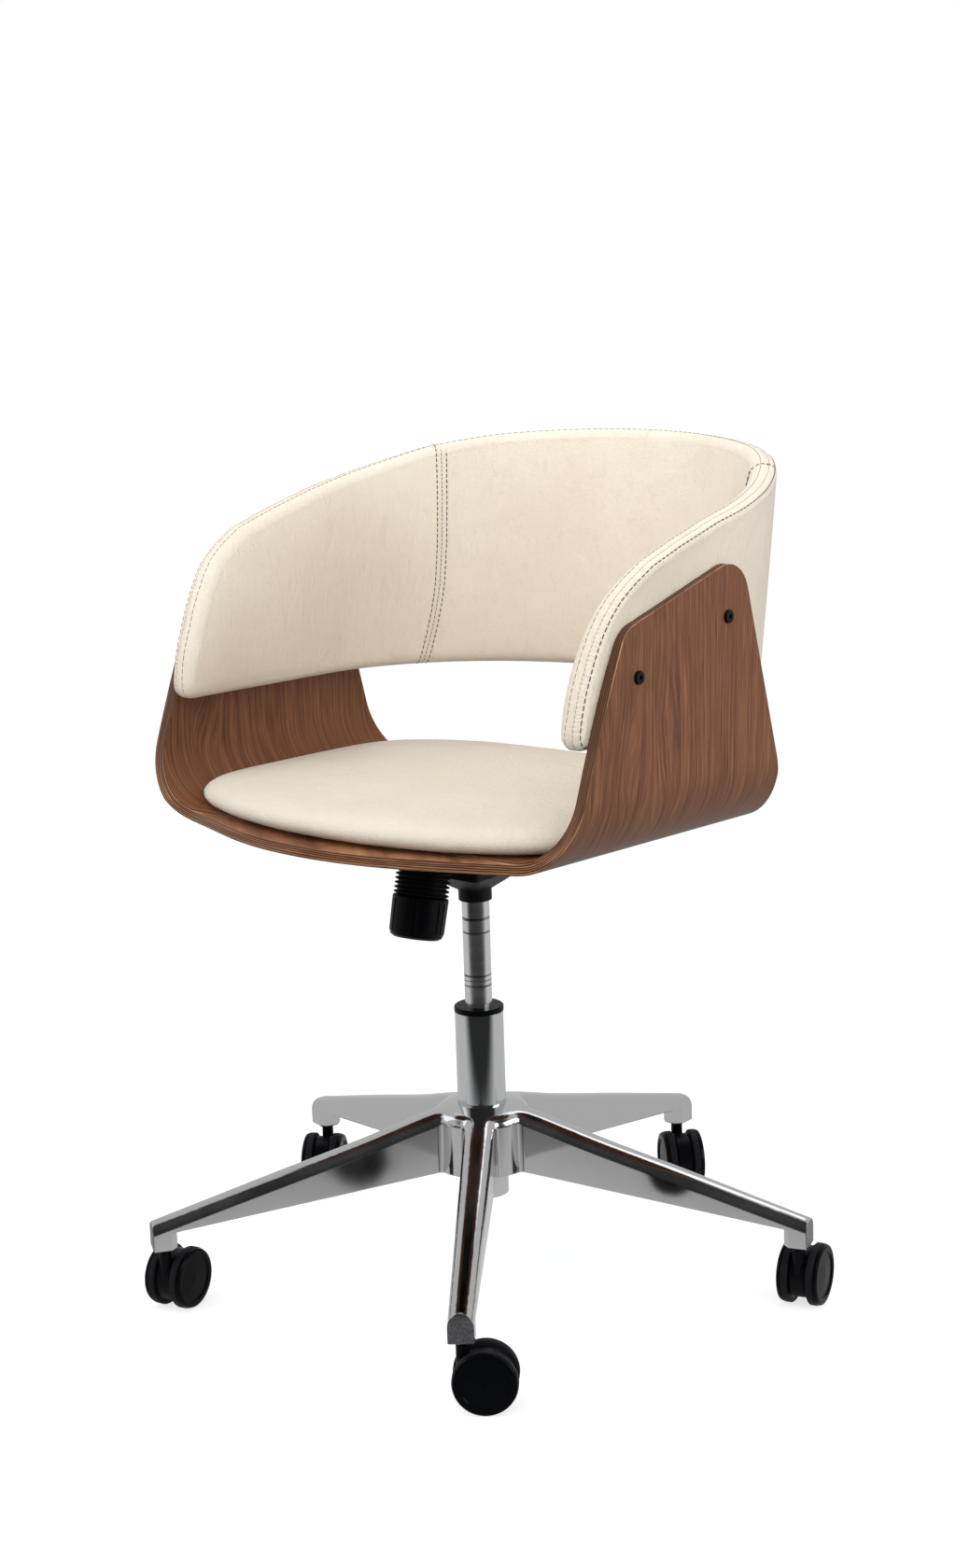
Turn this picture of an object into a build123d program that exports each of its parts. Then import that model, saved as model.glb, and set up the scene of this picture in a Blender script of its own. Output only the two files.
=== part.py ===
from build123d import *
from math import asin, cos, degrees, hypot, radians, sin
import os

os.makedirs("parts", exist_ok=True)

# Clearances, in millimetres
SEAM = 0.3
FIT = 0.1
PRESS = 0.05

# Bent plywood shell, in the seat's own frame: the floor's underside is z = 0
SEAT_HEIGHT = 488.5
SEAT_PITCH = 2.3
SHELL_WIDTH = 548.0
PLY = 12.5
BEND_RADIUS = 72.5
LIP_REACH = 250.0
LIP_RADIUS = 320.0
LIP_ARC_HALF = 125.0
SHOULDER_REACH = 188.0
REAR_REACH = 200.0
REAR_CORNER = 140.0
PANEL_FRONT_TOP = (-111.5, 224.0)
PANEL_FRONT_BOW = (-161.0, 100.0)
PANEL_REAR_TOP = (73.0, 277.0)
PANEL_REAR_FOOT = 157.0
PANEL_FRONT_ROUND = 30.0
PANEL_REAR_ROUND = 35.0

# Seat pad and the board inside it
PAD_WIDTH = 484.0
PAD_FRONT = 233.0
PAD_REAR = 197.0
PAD_CROWN = 36.0
BOARD_THICKNESS = 6.0
BOARD_WIDTH = 360.0
BOARD_MARGIN = 45.0

# Wrap-around backrest: bottom line in plan and the sweep of its top edge
BAND_HALF_WIDTH = 250.0
BAND_REACH = 284.0
BAND_BACK_RADIUS = 280.0
BAND_CORNER_RADIUS = 228.0
BAND_TIP = 166.0
BAND_BOTTOM = 116.0
BAND_TOP_AT_COLUMN = 300.0
BAND_TOP_SLOPE = 0.225
BAND_NOSE_LENGTH = 146.0
BAND_NOSE_DROP = 165.0
BAND_LEAN = 30.0
BAND_HALF_THICKNESS = 10.0
BAND_NOSE_ROUND = 9.0
BAND_CROWN = 14.0
CORE_HALF_THICKNESS = 4.0
CORE_MARGIN = 13.0
PAD_SPLIT = 0.4

# Screws that hold the backrest to the side panels: (y, z) on the panel
ARM_SCREW_SPOTS = [(-93.3, 178.6), (50.3, 219.4)]
ARM_SCREW_DIA = 6.0
ARM_SCREW_HEAD = 13.0
ARM_INSERT_DIA = 10.0

# Plate under the shell, its bolts and the tilt axle
PLATE_THICKNESS = 4.0
PLATE_WIDTH = 180.0
PLATE_FRONT = 96.0
PLATE_REAR = 84.0
PLATE_BOLT_X = 72.0
PLATE_BOLT_Y = [-78.0, 66.0]
BOLT_DIA = 6.0
TEE_NUT_DIA = 8.0
TEE_NUT_FLANGE = 20.0
EAR_GAP = 92.0
EAR_THICKNESS = 4.0
EAR_RADIUS = 11.0
PIVOT_BACK = 32.0
PIVOT_DROP = 46.0
PIVOT_DIA = 10.0

# Cast housing: heights are drops below the shell's underside
NECK_DROP = 86.0
NECK_DIA = 34.0
HOUSING_HALF_WIDTH = 38.0
HOUSING_FRONT = 44.0
HOUSING_REAR = 46.0
HOUSING_TOP_DROP = 23.0
HOUSING_FLOOR_DROP = 55.0
HOUSING_WALL = 4.0

# Tension spring stack on a leaning axis through a point ahead of the column
STACK_FORWARD = 79.2
STACK_DROP = 44.4
STACK_LEAN = 13.9
LEDGE_UP = 20.0
LEDGE_THICKNESS = 5.0
LEDGE_DIA = 58.0
BOOT_DIA = 56.0
BOOT_ROOT_DIA = 47.0
BOOT_BORE = 43.6
BOOT_RIBS = 9
KNOB_TOP = 20.6
KNOB_LENGTH = 42.0
KNOB_DIA = 56.0
KNOB_BORE_DEPTH = 34.0
CUP_DIA = 42.6
CUP_HEIGHT = 10.0
STUD_DIA = 8.0
SPRING_RADIUS = 14.5
SPRING_WIRE = 4.4
SPRING_TURNS = 5

# Gas column
COLUMN_DIA = 50.0
COLUMN_WALL = 2.0
COLUMN_TOP = 285.0
COLUMN_FOOT = 89.5
COLLAR_HEIGHT = 5.5
CYLINDER_DIA = 28.0
CYLINDER_OVERLAP = 75.0
ROD_DIA = 10.0
BUTTON_DIA = 8.0

# Height lever
LEVER_DIA = 8.0
LEVER_PIVOT_X = -28.0
LEVER_REACH = 205.0
LEVER_DROP = 25.0
LEVER_PIN_DIA = 4.0

# Five-legged base
LEG_COUNT = 5
LEG_START = 17.3
CASTER_RADIUS = 335.6
HUB_TOP = 188.5
HUB_CROWN = 3.0
HUB_RIM_DIA = 66.0
HUB_BODY_DIA = 100.0
HUB_FOOT = 120.5
HUB_FILLET = 7.0
LEG_ROOT_WIDTH = 32.0
LEG_TIP_WIDTH = 25.0
LEG_TIP_HEIGHT = 12.0
LEG_ROUND = 11.5
LEG_WALL = 4.0
TIP_ROUND = 5.0
BOSS_LENGTH = 25.0
BOSS_HEIGHT = 29.0
BOSS_FOOT = 68.5
BOSS_CHAMFER = 6.0

# Twin-wheel casters: trail direction of each, in the order of the legs
WHEEL_DIA = 63.0
WHEEL_WIDTH = 12.5
TYRE_WIDTH = 7.5
TYRE_DEPTH = 4.8
CAP_ROUND = 3.5
HOOD_WIDTH = 16.5
HOOD_DIA = 56.0
HOOD_FOOT = 14.0
CASTER_TRAIL = 21.0
CASTER_NECK_DIA = 12.5
AXLE_DIA = 8.0
STEM_DIA = 10.8
CASTER_HEADINGS = [104.5, -42.4, -60.0, 100.0, 36.4]

# Values that follow from the ones above
shell_half = SHELL_WIDTH / 2
panel_inside = shell_half - PLY
seat_place = Location((0, 0, SEAT_HEIGHT), (-SEAT_PITCH, 0, 0))
stack_point = (0, -STACK_FORWARD, SEAT_HEIGHT - STACK_DROP)
stack = Plane(
    origin=stack_point,
    x_dir=(1, 0, 0),
    z_dir=(0, sin(radians(STACK_LEAN)), cos(radians(STACK_LEAN))),
)
pitch = radians(SEAT_PITCH)
pivot_y = PIVOT_BACK * cos(pitch) - PIVOT_DROP * sin(pitch)
pivot_z = SEAT_HEIGHT - PIVOT_BACK * sin(pitch) - PIVOT_DROP * cos(pitch)
neck_foot = SEAT_HEIGHT - NECK_DROP
housing_top = SEAT_HEIGHT - HOUSING_TOP_DROP
housing_floor = SEAT_HEIGHT - HOUSING_FLOOR_DROP
cylinder_top = housing_top - 14
lever_z = housing_top - 2
wheel_radius = WHEEL_DIA / 2


def save(shape, name):
    """Write one node's solid, or group of solids, to its own file."""
    shape.label = name
    export_step(shape, f"parts/{name}.step")


def rod(diameter, start, end):
    """A cylinder between two points."""
    start = Vector(*start)
    end = Vector(*end)
    along = end - start
    plane = Plane(origin=start, z_dir=along.normalized())
    return extrude(plane * Circle(diameter / 2), along.length)


def block(x0, x1, y0, y1, z0, z1):
    """A box between two corners."""
    centre = Pos((x0 + x1) / 2, (y0 + y1) / 2, (z0 + z1) / 2)
    return centre * Box(x1 - x0, y1 - y0, z1 - z0)


def turned(points):
    """A solid of revolution about Z from (radius, height) points."""
    outline = make_face(Polyline([(r, 0, z) for r, z in points], close=True))
    return revolve(outline, Axis.Z)


def trough(half_width, floor, radius, top):
    """Section of the bent shell, outside or inside: a trough open at the top."""
    section = Pos(0, (floor + top) / 2) * Rectangle(2 * half_width, top - floor)
    return fillet(section.vertices().sort_by(Axis.Y)[:2], radius)


# Bent plywood shell
shell_top = PANEL_REAR_TOP[1] + 10
shell_long = 2 * LIP_REACH + 20
bend_section = trough(shell_half, 0, BEND_RADIUS, shell_top)
bend_section -= trough(panel_inside, PLY, BEND_RADIUS - PLY, shell_top + 1)
bent_sheet = extrude(Plane.XZ * bend_section, shell_long / 2, both=True)

lip_angle = asin(LIP_ARC_HALF / LIP_RADIUS)
lip_end = -LIP_REACH + LIP_RADIUS * (1 - cos(lip_angle))
lip_corner = LIP_ARC_HALF + (-SHOULDER_REACH - lip_end) / sin(lip_angle) * cos(lip_angle)
out = shell_half + 5
plan_lines = [
    ThreePointArc((-LIP_ARC_HALF, lip_end), (0, -LIP_REACH), (LIP_ARC_HALF, lip_end)),
    Line((LIP_ARC_HALF, lip_end), (lip_corner, -SHOULDER_REACH)),
    Line((lip_corner, -SHOULDER_REACH), (out, -SHOULDER_REACH)),
    Line((out, -SHOULDER_REACH), (out, REAR_CORNER)),
    ThreePointArc((out, REAR_CORNER), (0, REAR_REACH), (-out, REAR_CORNER)),
    Line((-out, REAR_CORNER), (-out, -SHOULDER_REACH)),
    Line((-out, -SHOULDER_REACH), (-lip_corner, -SHOULDER_REACH)),
    Line((-lip_corner, -SHOULDER_REACH), (-LIP_ARC_HALF, lip_end)),
]
plan_face = make_face(plan_lines)
plan_corners = [v for v in plan_face.vertices() if abs(abs(v.X) - lip_corner) < 0.01]
plan_face = fillet(plan_corners, 60)

panel_front_foot = (-SHOULDER_REACH - 2, PLY - 2)
panel_rear_foot = (PANEL_REAR_FOOT, PLY - 2)
side_lines = [
    ThreePointArc(panel_front_foot, PANEL_FRONT_BOW, PANEL_FRONT_TOP),
    Line(PANEL_FRONT_TOP, PANEL_REAR_TOP),
    Line(PANEL_REAR_TOP, panel_rear_foot),
    Line(panel_rear_foot, (REAR_REACH + 8, PLY - 2)),
    Line((REAR_REACH + 8, PLY - 2), (REAR_REACH + 8, -5)),
    Line((REAR_REACH + 8, -5), (-LIP_REACH - 8, -5)),
    Line((-LIP_REACH - 8, -5), (-LIP_REACH - 8, PLY - 2)),
    Line((-LIP_REACH - 8, PLY - 2), panel_front_foot),
]
side_face = make_face(side_lines)
front_top = side_face.vertices().sort_by_distance((*PANEL_FRONT_TOP, 0))[0]
side_face = fillet(front_top, PANEL_FRONT_ROUND)
rear_top = side_face.vertices().sort_by_distance((*PANEL_REAR_TOP, 0))[0]
side_face = fillet(rear_top, PANEL_REAR_ROUND)

seat_shell = bent_sheet & extrude(plan_face, shell_top)
seat_shell = seat_shell & extrude(Plane.YZ * side_face, out, both=True)
for y in PLATE_BOLT_Y:
    for x in (-PLATE_BOLT_X, PLATE_BOLT_X):
        seat_shell -= rod(TEE_NUT_DIA + 2 * PRESS, (x, y, -1), (x, y, PLY + 1))
for y, z in ARM_SCREW_SPOTS:
    seat_shell -= rod(ARM_SCREW_DIA + 0.6, (-out, y, z), (out, y, z))
save(seat_place * seat_shell, "seat_shell")


def pad_outline(inset, height):
    """Outline of the seat pad at one height, drawn in by an inset."""
    half = PAD_WIDTH / 2 - inset
    front = -PAD_FRONT + inset
    rear = PAD_REAR - inset
    nose = half * 0.78
    tail = half * 0.74
    front_side = front * 0.80
    front_turn = front * 0.46
    rear_side = rear * 0.85
    rear_turn = rear * 0.45
    points = [(nose, front_side), (half * 0.945, front * 0.665), (half, front_turn)]
    back = [(half, rear_turn), (half * 0.93, rear * 0.67), (tail, rear_side)]
    lines = [
        ThreePointArc((-nose, front_side), (0, front), points[0]),
        ThreePointArc(*points),
        Line(points[2], back[0]),
        ThreePointArc(*back),
        ThreePointArc(back[2], (0, rear), (-tail, rear_side)),
        ThreePointArc(*[(-x, y) for x, y in reversed(back)]),
        Line((-half, rear_turn), (-half, front_turn)),
        ThreePointArc(*[(-x, y) for x, y in reversed(points)]),
    ]
    return Pos(0, 0, height) * Wire(lines)


# Board inside the pad, drilled for the tee nuts
board_face = Pos(0, (PAD_REAR - PAD_FRONT) / 2) * RectangleRounded(
    BOARD_WIDTH, PAD_REAR + PAD_FRONT - 2 * BOARD_MARGIN, 60
)
board_holes = Sketch() + [
    Pos(x, y) * Circle(TEE_NUT_FLANGE / 2 + 1) for x in (-PLATE_BOLT_X, PLATE_BOLT_X) for y in PLATE_BOLT_Y
]
seat_board = Pos(0, 0, PLY) * extrude(board_face - board_holes, BOARD_THICKNESS)
save(seat_place * seat_board, "seat_board")

# Seat pad: full round sides, crowned top, pocket for the board
pad_foot = PLY + SEAM
pad_levels = [(12, 0), (3, 0.18), (0, 0.42), (4, 0.64), (14, 0.78), (40, 0.9), (100, 1.0)]
pad_wires = [pad_outline(inset, pad_foot + part * PAD_CROWN) for inset, part in pad_levels]
pad_body = Solid.make_loft(pad_wires, ruled=True)
pad_room = trough(panel_inside - SEAM, pad_foot, BEND_RADIUS - PLY, shell_top)
seat_pad = pad_body & extrude(Plane.XZ * pad_room, shell_long / 2, both=True)
pocket = extrude(offset(board_face, SEAM), BOARD_THICKNESS + SEAM + 1)
seat_pad -= Pos(0, 0, PLY - 1) * pocket
save(seat_place * seat_pad, "seat_pad")

# Backrest: stations along the bottom line, from one arm tip round to the other
back_centre_y = BAND_REACH - BAND_BACK_RADIUS
corner_x = BAND_HALF_WIDTH - BAND_CORNER_RADIUS
turn = asin(corner_x / (BAND_BACK_RADIUS - BAND_CORNER_RADIUS))
corner_y = back_centre_y + (BAND_BACK_RADIUS - BAND_CORNER_RADIUS) * cos(turn)
turn_deg = degrees(turn)


def arm_station(y):
    """Bottom point and outward normal on the straight arm."""
    return (BAND_HALF_WIDTH, y), (1, 0)


def bend_station(angle):
    """Bottom point and outward normal at an angle from straight back."""
    normal = (sin(radians(angle)), cos(radians(angle)))
    if angle > turn_deg:
        centre = (corner_x, corner_y)
        radius = BAND_CORNER_RADIUS
    else:
        centre = (0, back_centre_y)
        radius = BAND_BACK_RADIUS
    return (centre[0] + radius * normal[0], centre[1] + radius * normal[1]), normal


def top_edge(y):
    """Height of the backrest's top edge above the shell's underside."""
    line = BAND_TOP_AT_COLUMN + BAND_TOP_SLOPE * y
    along = max(0.0, min(1.0, (BAND_NOSE_LENGTH - BAND_TIP - y) / BAND_NOSE_LENGTH))
    return line - BAND_NOSE_DROP * (1 - (1 - along**2.5) ** 0.4)


def section_frame(station):
    """Place a point of a section: distance along the normal and height."""
    (x, y), (nx, ny) = station
    lean = BAND_LEAN * ny
    height = top_edge(y + lean * ny) - BAND_BOTTOM

    def point(across, up):
        along = lean * up / height + across
        return (x + nx * along, y + ny * along, BAND_BOTTOM + up)

    return point, height


def pad_section(station, side):
    """Half section of the backrest: side -1 faces the sitter, +1 faces out."""
    point, height = section_frame(station)
    nose = min(BAND_NOSE_ROUND, height * 0.35)
    thick = BAND_HALF_THICKNESS * min(1.0, 0.6 + height / 120)
    inner = side * PAD_SPLIT / 2
    swell = BAND_CROWN * min(1.0, height / 150) if side < 0 else 0.8
    mid = thick * 0.74
    bow = nose * 0.3
    lines = [
        ThreePointArc(point(inner, 0), point(side * mid, bow), point(side * thick, nose)),
        ThreePointArc(
            point(side * thick, nose),
            point(side * (thick + swell), height / 2),
            point(side * thick, height - nose),
        ),
        ThreePointArc(
            point(side * thick, height - nose),
            point(side * mid, height - bow),
            point(inner, height),
        ),
        Line(point(inner, height), point(inner, 0)),
    ]
    return Wire(lines)


def core_section(station, grow):
    """Section of the bent former, or of the room for it."""
    point, height = section_frame(station)
    half = CORE_HALF_THICKNESS + grow
    low = CORE_MARGIN - grow
    high = height - CORE_MARGIN + grow
    corners = [point(-half, low), point(half, low), point(half, high), point(-half, high)]
    return Wire(Polyline(corners, close=True).edges())


def both_sides(stations):
    """Stations of one side followed by their mirror images."""
    mirrored = [((-x, y), (-nx, ny)) for (x, y), (nx, ny) in reversed(stations) if x > 0.01]
    return stations + mirrored


nose_steps = [0.012, 0.06, 0.13, 0.22, 0.38, 0.62, 0.95]
arm_stations = [arm_station(BAND_NOSE_LENGTH * step - BAND_TIP) for step in nose_steps]
bend_angles = [90, 78, 66, 54, 43, 34, turn_deg, turn_deg / 2, 0]
bend_stations = [bend_station(angle) for angle in bend_angles]
pad_stations = both_sides(arm_stations + bend_stations)
core_stations = both_sides(arm_stations[3:] + bend_stations)

core = Solid.make_loft([core_section(s, 0) for s in core_stations], ruled=True)
core_room = Solid.make_loft([core_section(s, SEAM) for s in core_stations], ruled=True)
inner_pad = Solid.make_loft([pad_section(s, -1) for s in pad_stations], ruled=True)
outer_pad = Solid.make_loft([pad_section(s, 1) for s in pad_stations], ruled=True)
inner_pad = inner_pad - core_room
outer_pad = outer_pad - core_room
insert_outer = BAND_HALF_WIDTH + CORE_HALF_THICKNESS - 0.5
insert_inner = BAND_HALF_WIDTH - CORE_HALF_THICKNESS + 0.5
arm_inserts = []
arm_screws = []
for y, z in ARM_SCREW_SPOTS:
    for side in (-1, 1):
        core -= rod(ARM_INSERT_DIA, (side * (BAND_HALF_WIDTH - 9), y, z), (side * out, y, z))
        outer_pad -= rod(ARM_SCREW_DIA + 2, (side * (BAND_HALF_WIDTH - 9), y, z), (side * out, y, z))
        insert = rod(ARM_INSERT_DIA - 2 * PRESS, (side * insert_inner, y, z), (side * insert_outer, y, z))
        bore = rod(ARM_SCREW_DIA + 2 * PRESS, (side * insert_inner, y, z), (side * out, y, z))
        arm_inserts.append(insert - bore)
        screw = rod(ARM_SCREW_DIA, (side * (insert_inner + 0.5), y, z), (side * shell_half, y, z))
        head = rod(ARM_SCREW_HEAD, (side * shell_half, y, z), (side * (shell_half + 3), y, z))
        head = chamfer(head.edges().sort_by(Axis.X)[-1 if side > 0 else 0], 0.8)
        socket = Plane(origin=(side * (shell_half + 3), y, z), z_dir=(-side, 0, 0))
        head -= extrude(socket * RegularPolygon(2.6, 6), 2)
        arm_screws.append(screw + head)
save(seat_place * core, "backrest_core")
save(seat_place * inner_pad, "backrest_inner_pad")
save(seat_place * outer_pad, "backrest_outer_pad")
save(seat_place * Compound(children=arm_inserts), "arm_inserts")
save(seat_place * Compound(children=arm_screws), "arm_screws")

# Plate under the shell, with two ears for the tilt axle
plate_face = Pos(0, (PLATE_REAR - PLATE_FRONT) / 2) * RectangleRounded(
    PLATE_WIDTH, PLATE_FRONT + PLATE_REAR, 14
)
mechanism_plate = Pos(0, 0, -PLATE_THICKNESS) * extrude(plate_face, PLATE_THICKNESS)
ear_lines = Polyline(
    [
        (PIVOT_BACK - 34, -PLATE_THICKNESS / 2),
        (PIVOT_BACK - EAR_RADIUS, -PIVOT_DROP),
        (PIVOT_BACK + EAR_RADIUS, -PIVOT_DROP),
        (PIVOT_BACK + 30, -PLATE_THICKNESS / 2),
    ],
    close=True,
)
ear_face = make_face(ear_lines) + Pos(PIVOT_BACK, -PIVOT_DROP) * Circle(EAR_RADIUS)
ear_face -= Pos(PIVOT_BACK, -PIVOT_DROP) * Circle(PIVOT_DIA / 2 + SEAM)
for start in (EAR_GAP / 2, -EAR_GAP / 2 - EAR_THICKNESS):
    mechanism_plate += extrude(Plane.YZ.offset(start) * ear_face, EAR_THICKNESS)
seat_bolts = []
seat_tee_nuts = []
for y in PLATE_BOLT_Y:
    for x in (-PLATE_BOLT_X, PLATE_BOLT_X):
        mechanism_plate -= rod(BOLT_DIA + 0.6, (x, y, -PLATE_THICKNESS - 1), (x, y, 1))
        head = Pos(x, y, -PLATE_THICKNESS - 4) * extrude(RegularPolygon(5.6, 6), 4)
        seat_bolts.append(head + rod(BOLT_DIA, (x, y, -PLATE_THICKNESS), (x, y, PLY)))
        barrel = rod(TEE_NUT_DIA, (x, y, 1), (x, y, PLY))
        flange = rod(TEE_NUT_FLANGE, (x, y, PLY), (x, y, PLY + 1.6))
        bore = rod(BOLT_DIA + 2 * PRESS, (x, y, 0), (x, y, PLY + 2))
        seat_tee_nuts.append(barrel + flange - bore)
save(seat_place * mechanism_plate, "mechanism_plate")
save(seat_place * Compound(children=seat_bolts), "seat_bolts")
save(seat_place * Compound(children=seat_tee_nuts), "seat_tee_nuts")

# Cast housing: column socket, hollow box, axle bosses, spring ledge
socket_outer = rod(NECK_DIA, (0, 0, neck_foot), (0, 0, cylinder_top))
belly = Solid.make_loft(
    [
        (Pos(0, 0, neck_foot + 10) * RectangleRounded(26, 26, 6)).wire(),
        (
            Pos(0, (HOUSING_REAR - HOUSING_FRONT) / 2, housing_floor)
            * RectangleRounded(2 * HOUSING_HALF_WIDTH, HOUSING_FRONT + HOUSING_REAR, 6)
        ).wire(),
    ]
)
box_face = Pos(0, (HOUSING_REAR - HOUSING_FRONT) / 2) * RectangleRounded(
    2 * HOUSING_HALF_WIDTH, HOUSING_FRONT + HOUSING_REAR, 6
)
box_outer = Pos(0, 0, housing_floor) * extrude(box_face, housing_top - housing_floor)
box_room = Pos(0, 0, housing_floor) * extrude(
    offset(box_face, -HOUSING_WALL), housing_top - housing_floor + 1
)
cross_web = block(
    1 - HOUSING_HALF_WIDTH,
    HOUSING_HALF_WIDTH - 1,
    1 - HOUSING_FRONT,
    -22,
    housing_top - 6,
    housing_top,
)
lugs = Compound(
    children=[
        block(-HOUSING_HALF_WIDTH + 1, LEVER_PIVOT_X + 6, y, y + 4, housing_floor, housing_top)
        for y in (-LEVER_DIA / 2 - 5, LEVER_DIA / 2 + 1)
    ]
)
ledge = extrude(stack.offset(LEDGE_UP) * Circle(LEDGE_DIA / 2), LEDGE_THICKNESS)
tongue_face = Pos(0, 22) * Rectangle(52, 44)
ledge += extrude(stack.offset(LEDGE_UP) * tongue_face, LEDGE_THICKNESS)
for x in (-23, 23):
    ledge += extrude(stack.offset(LEDGE_UP) * (Pos(x, 10) * Rectangle(5, 60)), LEDGE_THICKNESS + 8)
ledge -= block(-60, 60, -HOUSING_FRONT + HOUSING_WALL, 60, housing_floor, housing_top + 30)
pin_line = [(-EAR_GAP / 2 + SEAM, pivot_y, pivot_z), (EAR_GAP / 2 - SEAM, pivot_y, pivot_z)]
bosses = rod(2 * EAR_RADIUS - 2, *pin_line)
bosses -= block(-HOUSING_HALF_WIDTH + 1, HOUSING_HALF_WIDTH - 1, 0, 90, housing_floor - 30, housing_top)
mechanism_housing = belly + box_outer - box_room
mechanism_housing = mechanism_housing + socket_outer + cross_web + lugs + ledge + bosses
mechanism_housing -= rod(CYLINDER_DIA + 2 * FIT, (0, 0, neck_foot - 1), (0, 0, cylinder_top + 1))
mechanism_housing -= rod(PIVOT_DIA + 2 * PRESS, (-60, pivot_y, pivot_z), (60, pivot_y, pivot_z))
mechanism_housing -= extrude(stack * Circle(STUD_DIA / 2 + 6), 60)
lever_slot = LEVER_DIA / 2 + 2
slot_end = 1 - HOUSING_HALF_WIDTH + HOUSING_WALL
mechanism_housing -= block(-60, slot_end, -lever_slot, lever_slot, lever_z - 7, housing_top + 20)
lever_pin_ends = [(LEVER_PIVOT_X, -LEVER_DIA / 2 - 6, lever_z), (LEVER_PIVOT_X, LEVER_DIA / 2 + 6, lever_z)]
mechanism_housing -= rod(LEVER_PIN_DIA + 2 * PRESS, *lever_pin_ends)
save(mechanism_housing, "mechanism_housing")
save(rod(LEVER_PIN_DIA, *lever_pin_ends), "lever_pin")

# Tilt axle with a head at each end
pin_end = EAR_GAP / 2 + EAR_THICKNESS + 1
pivot_pin = rod(PIVOT_DIA, (-pin_end, pivot_y, pivot_z), (pin_end, pivot_y, pivot_z))
for side in (-1, 1):
    pivot_pin += rod(
        PIVOT_DIA + 6,
        (side * pin_end, pivot_y, pivot_z),
        (side * (pin_end + 3), pivot_y, pivot_z),
    )
save(pivot_pin, "pivot_pin")

# Rubber stop on the cross web, just short of the plate
stop_front = -HOUSING_FRONT + 2
stop_rear = stop_front + 16
plate_under = SEAT_HEIGHT - PLATE_THICKNESS * cos(pitch) - stop_rear * sin(pitch)
tilt_stop = block(-15, 15, stop_front, stop_rear, housing_top, plate_under - SEAM)
save(fillet(tilt_stop.edges().filter_by(Axis.Z), 3), "tilt_stop")

# Threaded stud under the plate
stud_low = -KNOB_TOP - KNOB_BORE_DEPTH + 12
tension_stud = extrude(stack.offset(stud_low) * Circle(STUD_DIA / 2), 60 - stud_low)
tension_stud += extrude(stack.offset(36) * Circle(STUD_DIA), 24)
tension_stud -= seat_place * block(-50, 50, -200, 50, -PLATE_THICKNESS, 90)
save(tension_stud, "tension_stud")

# Ribbed boot round the spring
boot_low = -KNOB_TOP + SEAM
boot_length = LEDGE_UP - SEAM - boot_low
rib_pitch = boot_length / BOOT_RIBS
boot_points = [(BOOT_BORE / 2, boot_low)]
for rib in range(BOOT_RIBS):
    base = boot_low + rib * rib_pitch
    boot_points.append((BOOT_ROOT_DIA / 2, base))
    boot_points.append((BOOT_DIA / 2, base + rib_pitch * 0.4))
    boot_points.append((BOOT_DIA / 2, base + rib_pitch * 0.6))
boot_points.append((BOOT_ROOT_DIA / 2, boot_low + boot_length))
boot_points.append((BOOT_BORE / 2, boot_low + boot_length))
save(stack.location * turned(boot_points), "spring_boot")

# Cup that carries the spring on the knob
cup_low = -KNOB_TOP + SEAM
cup_points = [
    (STUD_DIA / 2 + 1, cup_low),
    (CUP_DIA / 2, cup_low),
    (CUP_DIA / 2, cup_low + CUP_HEIGHT),
    (CUP_DIA / 2 - 1.6, cup_low + CUP_HEIGHT),
    (CUP_DIA / 2 - 1.6, cup_low + 3),
    (STUD_DIA / 2 + 1, cup_low + 3),
]
save(stack.location * turned(cup_points), "spring_cup")

# Compression spring inside the boot
spring_low = cup_low + 3 + SPRING_WIRE / 2 + SEAM
spring_high = LEDGE_UP - SPRING_WIRE / 2 - SEAM
spring_line = Helix((spring_high - spring_low) / SPRING_TURNS, spring_high - spring_low, SPRING_RADIUS)
wire_face = Plane(origin=spring_line @ 0, z_dir=spring_line % 0) * Circle(SPRING_WIRE / 2)
tilt_spring = Pos(0, 0, spring_low) * sweep(wire_face, path=spring_line)
save(stack.location * tilt_spring, "tilt_spring")

# Hand knob: slight taper, rounded foot, grooves in pairs
knob_low = -KNOB_TOP - KNOB_LENGTH
knob_points = [
    (STUD_DIA / 2 + SEAM, -KNOB_TOP),
    (KNOB_DIA / 2 - 1.2, -KNOB_TOP),
    (KNOB_DIA / 2, -KNOB_TOP - 1.2),
    (KNOB_DIA / 2 - 0.6, knob_low + 7),
    (KNOB_DIA / 2 - 2.4, knob_low + 2.2),
    (KNOB_DIA / 2 - 6, knob_low),
    (0, knob_low),
    (0, -KNOB_TOP - KNOB_BORE_DEPTH),
    (STUD_DIA / 2 + SEAM, -KNOB_TOP - KNOB_BORE_DEPTH),
]
tension_knob = turned(knob_points)
for flat in range(6):
    for shift in (-8, 8):
        angle = radians(flat * 60 + shift)
        at = ((KNOB_DIA / 2 + 0.5) * cos(angle), (KNOB_DIA / 2 + 0.5) * sin(angle))
        tension_knob -= rod(3.6, (*at, knob_low - 1), (*at, -KNOB_TOP - 4))
save(stack.location * tension_knob, "tension_knob")

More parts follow.
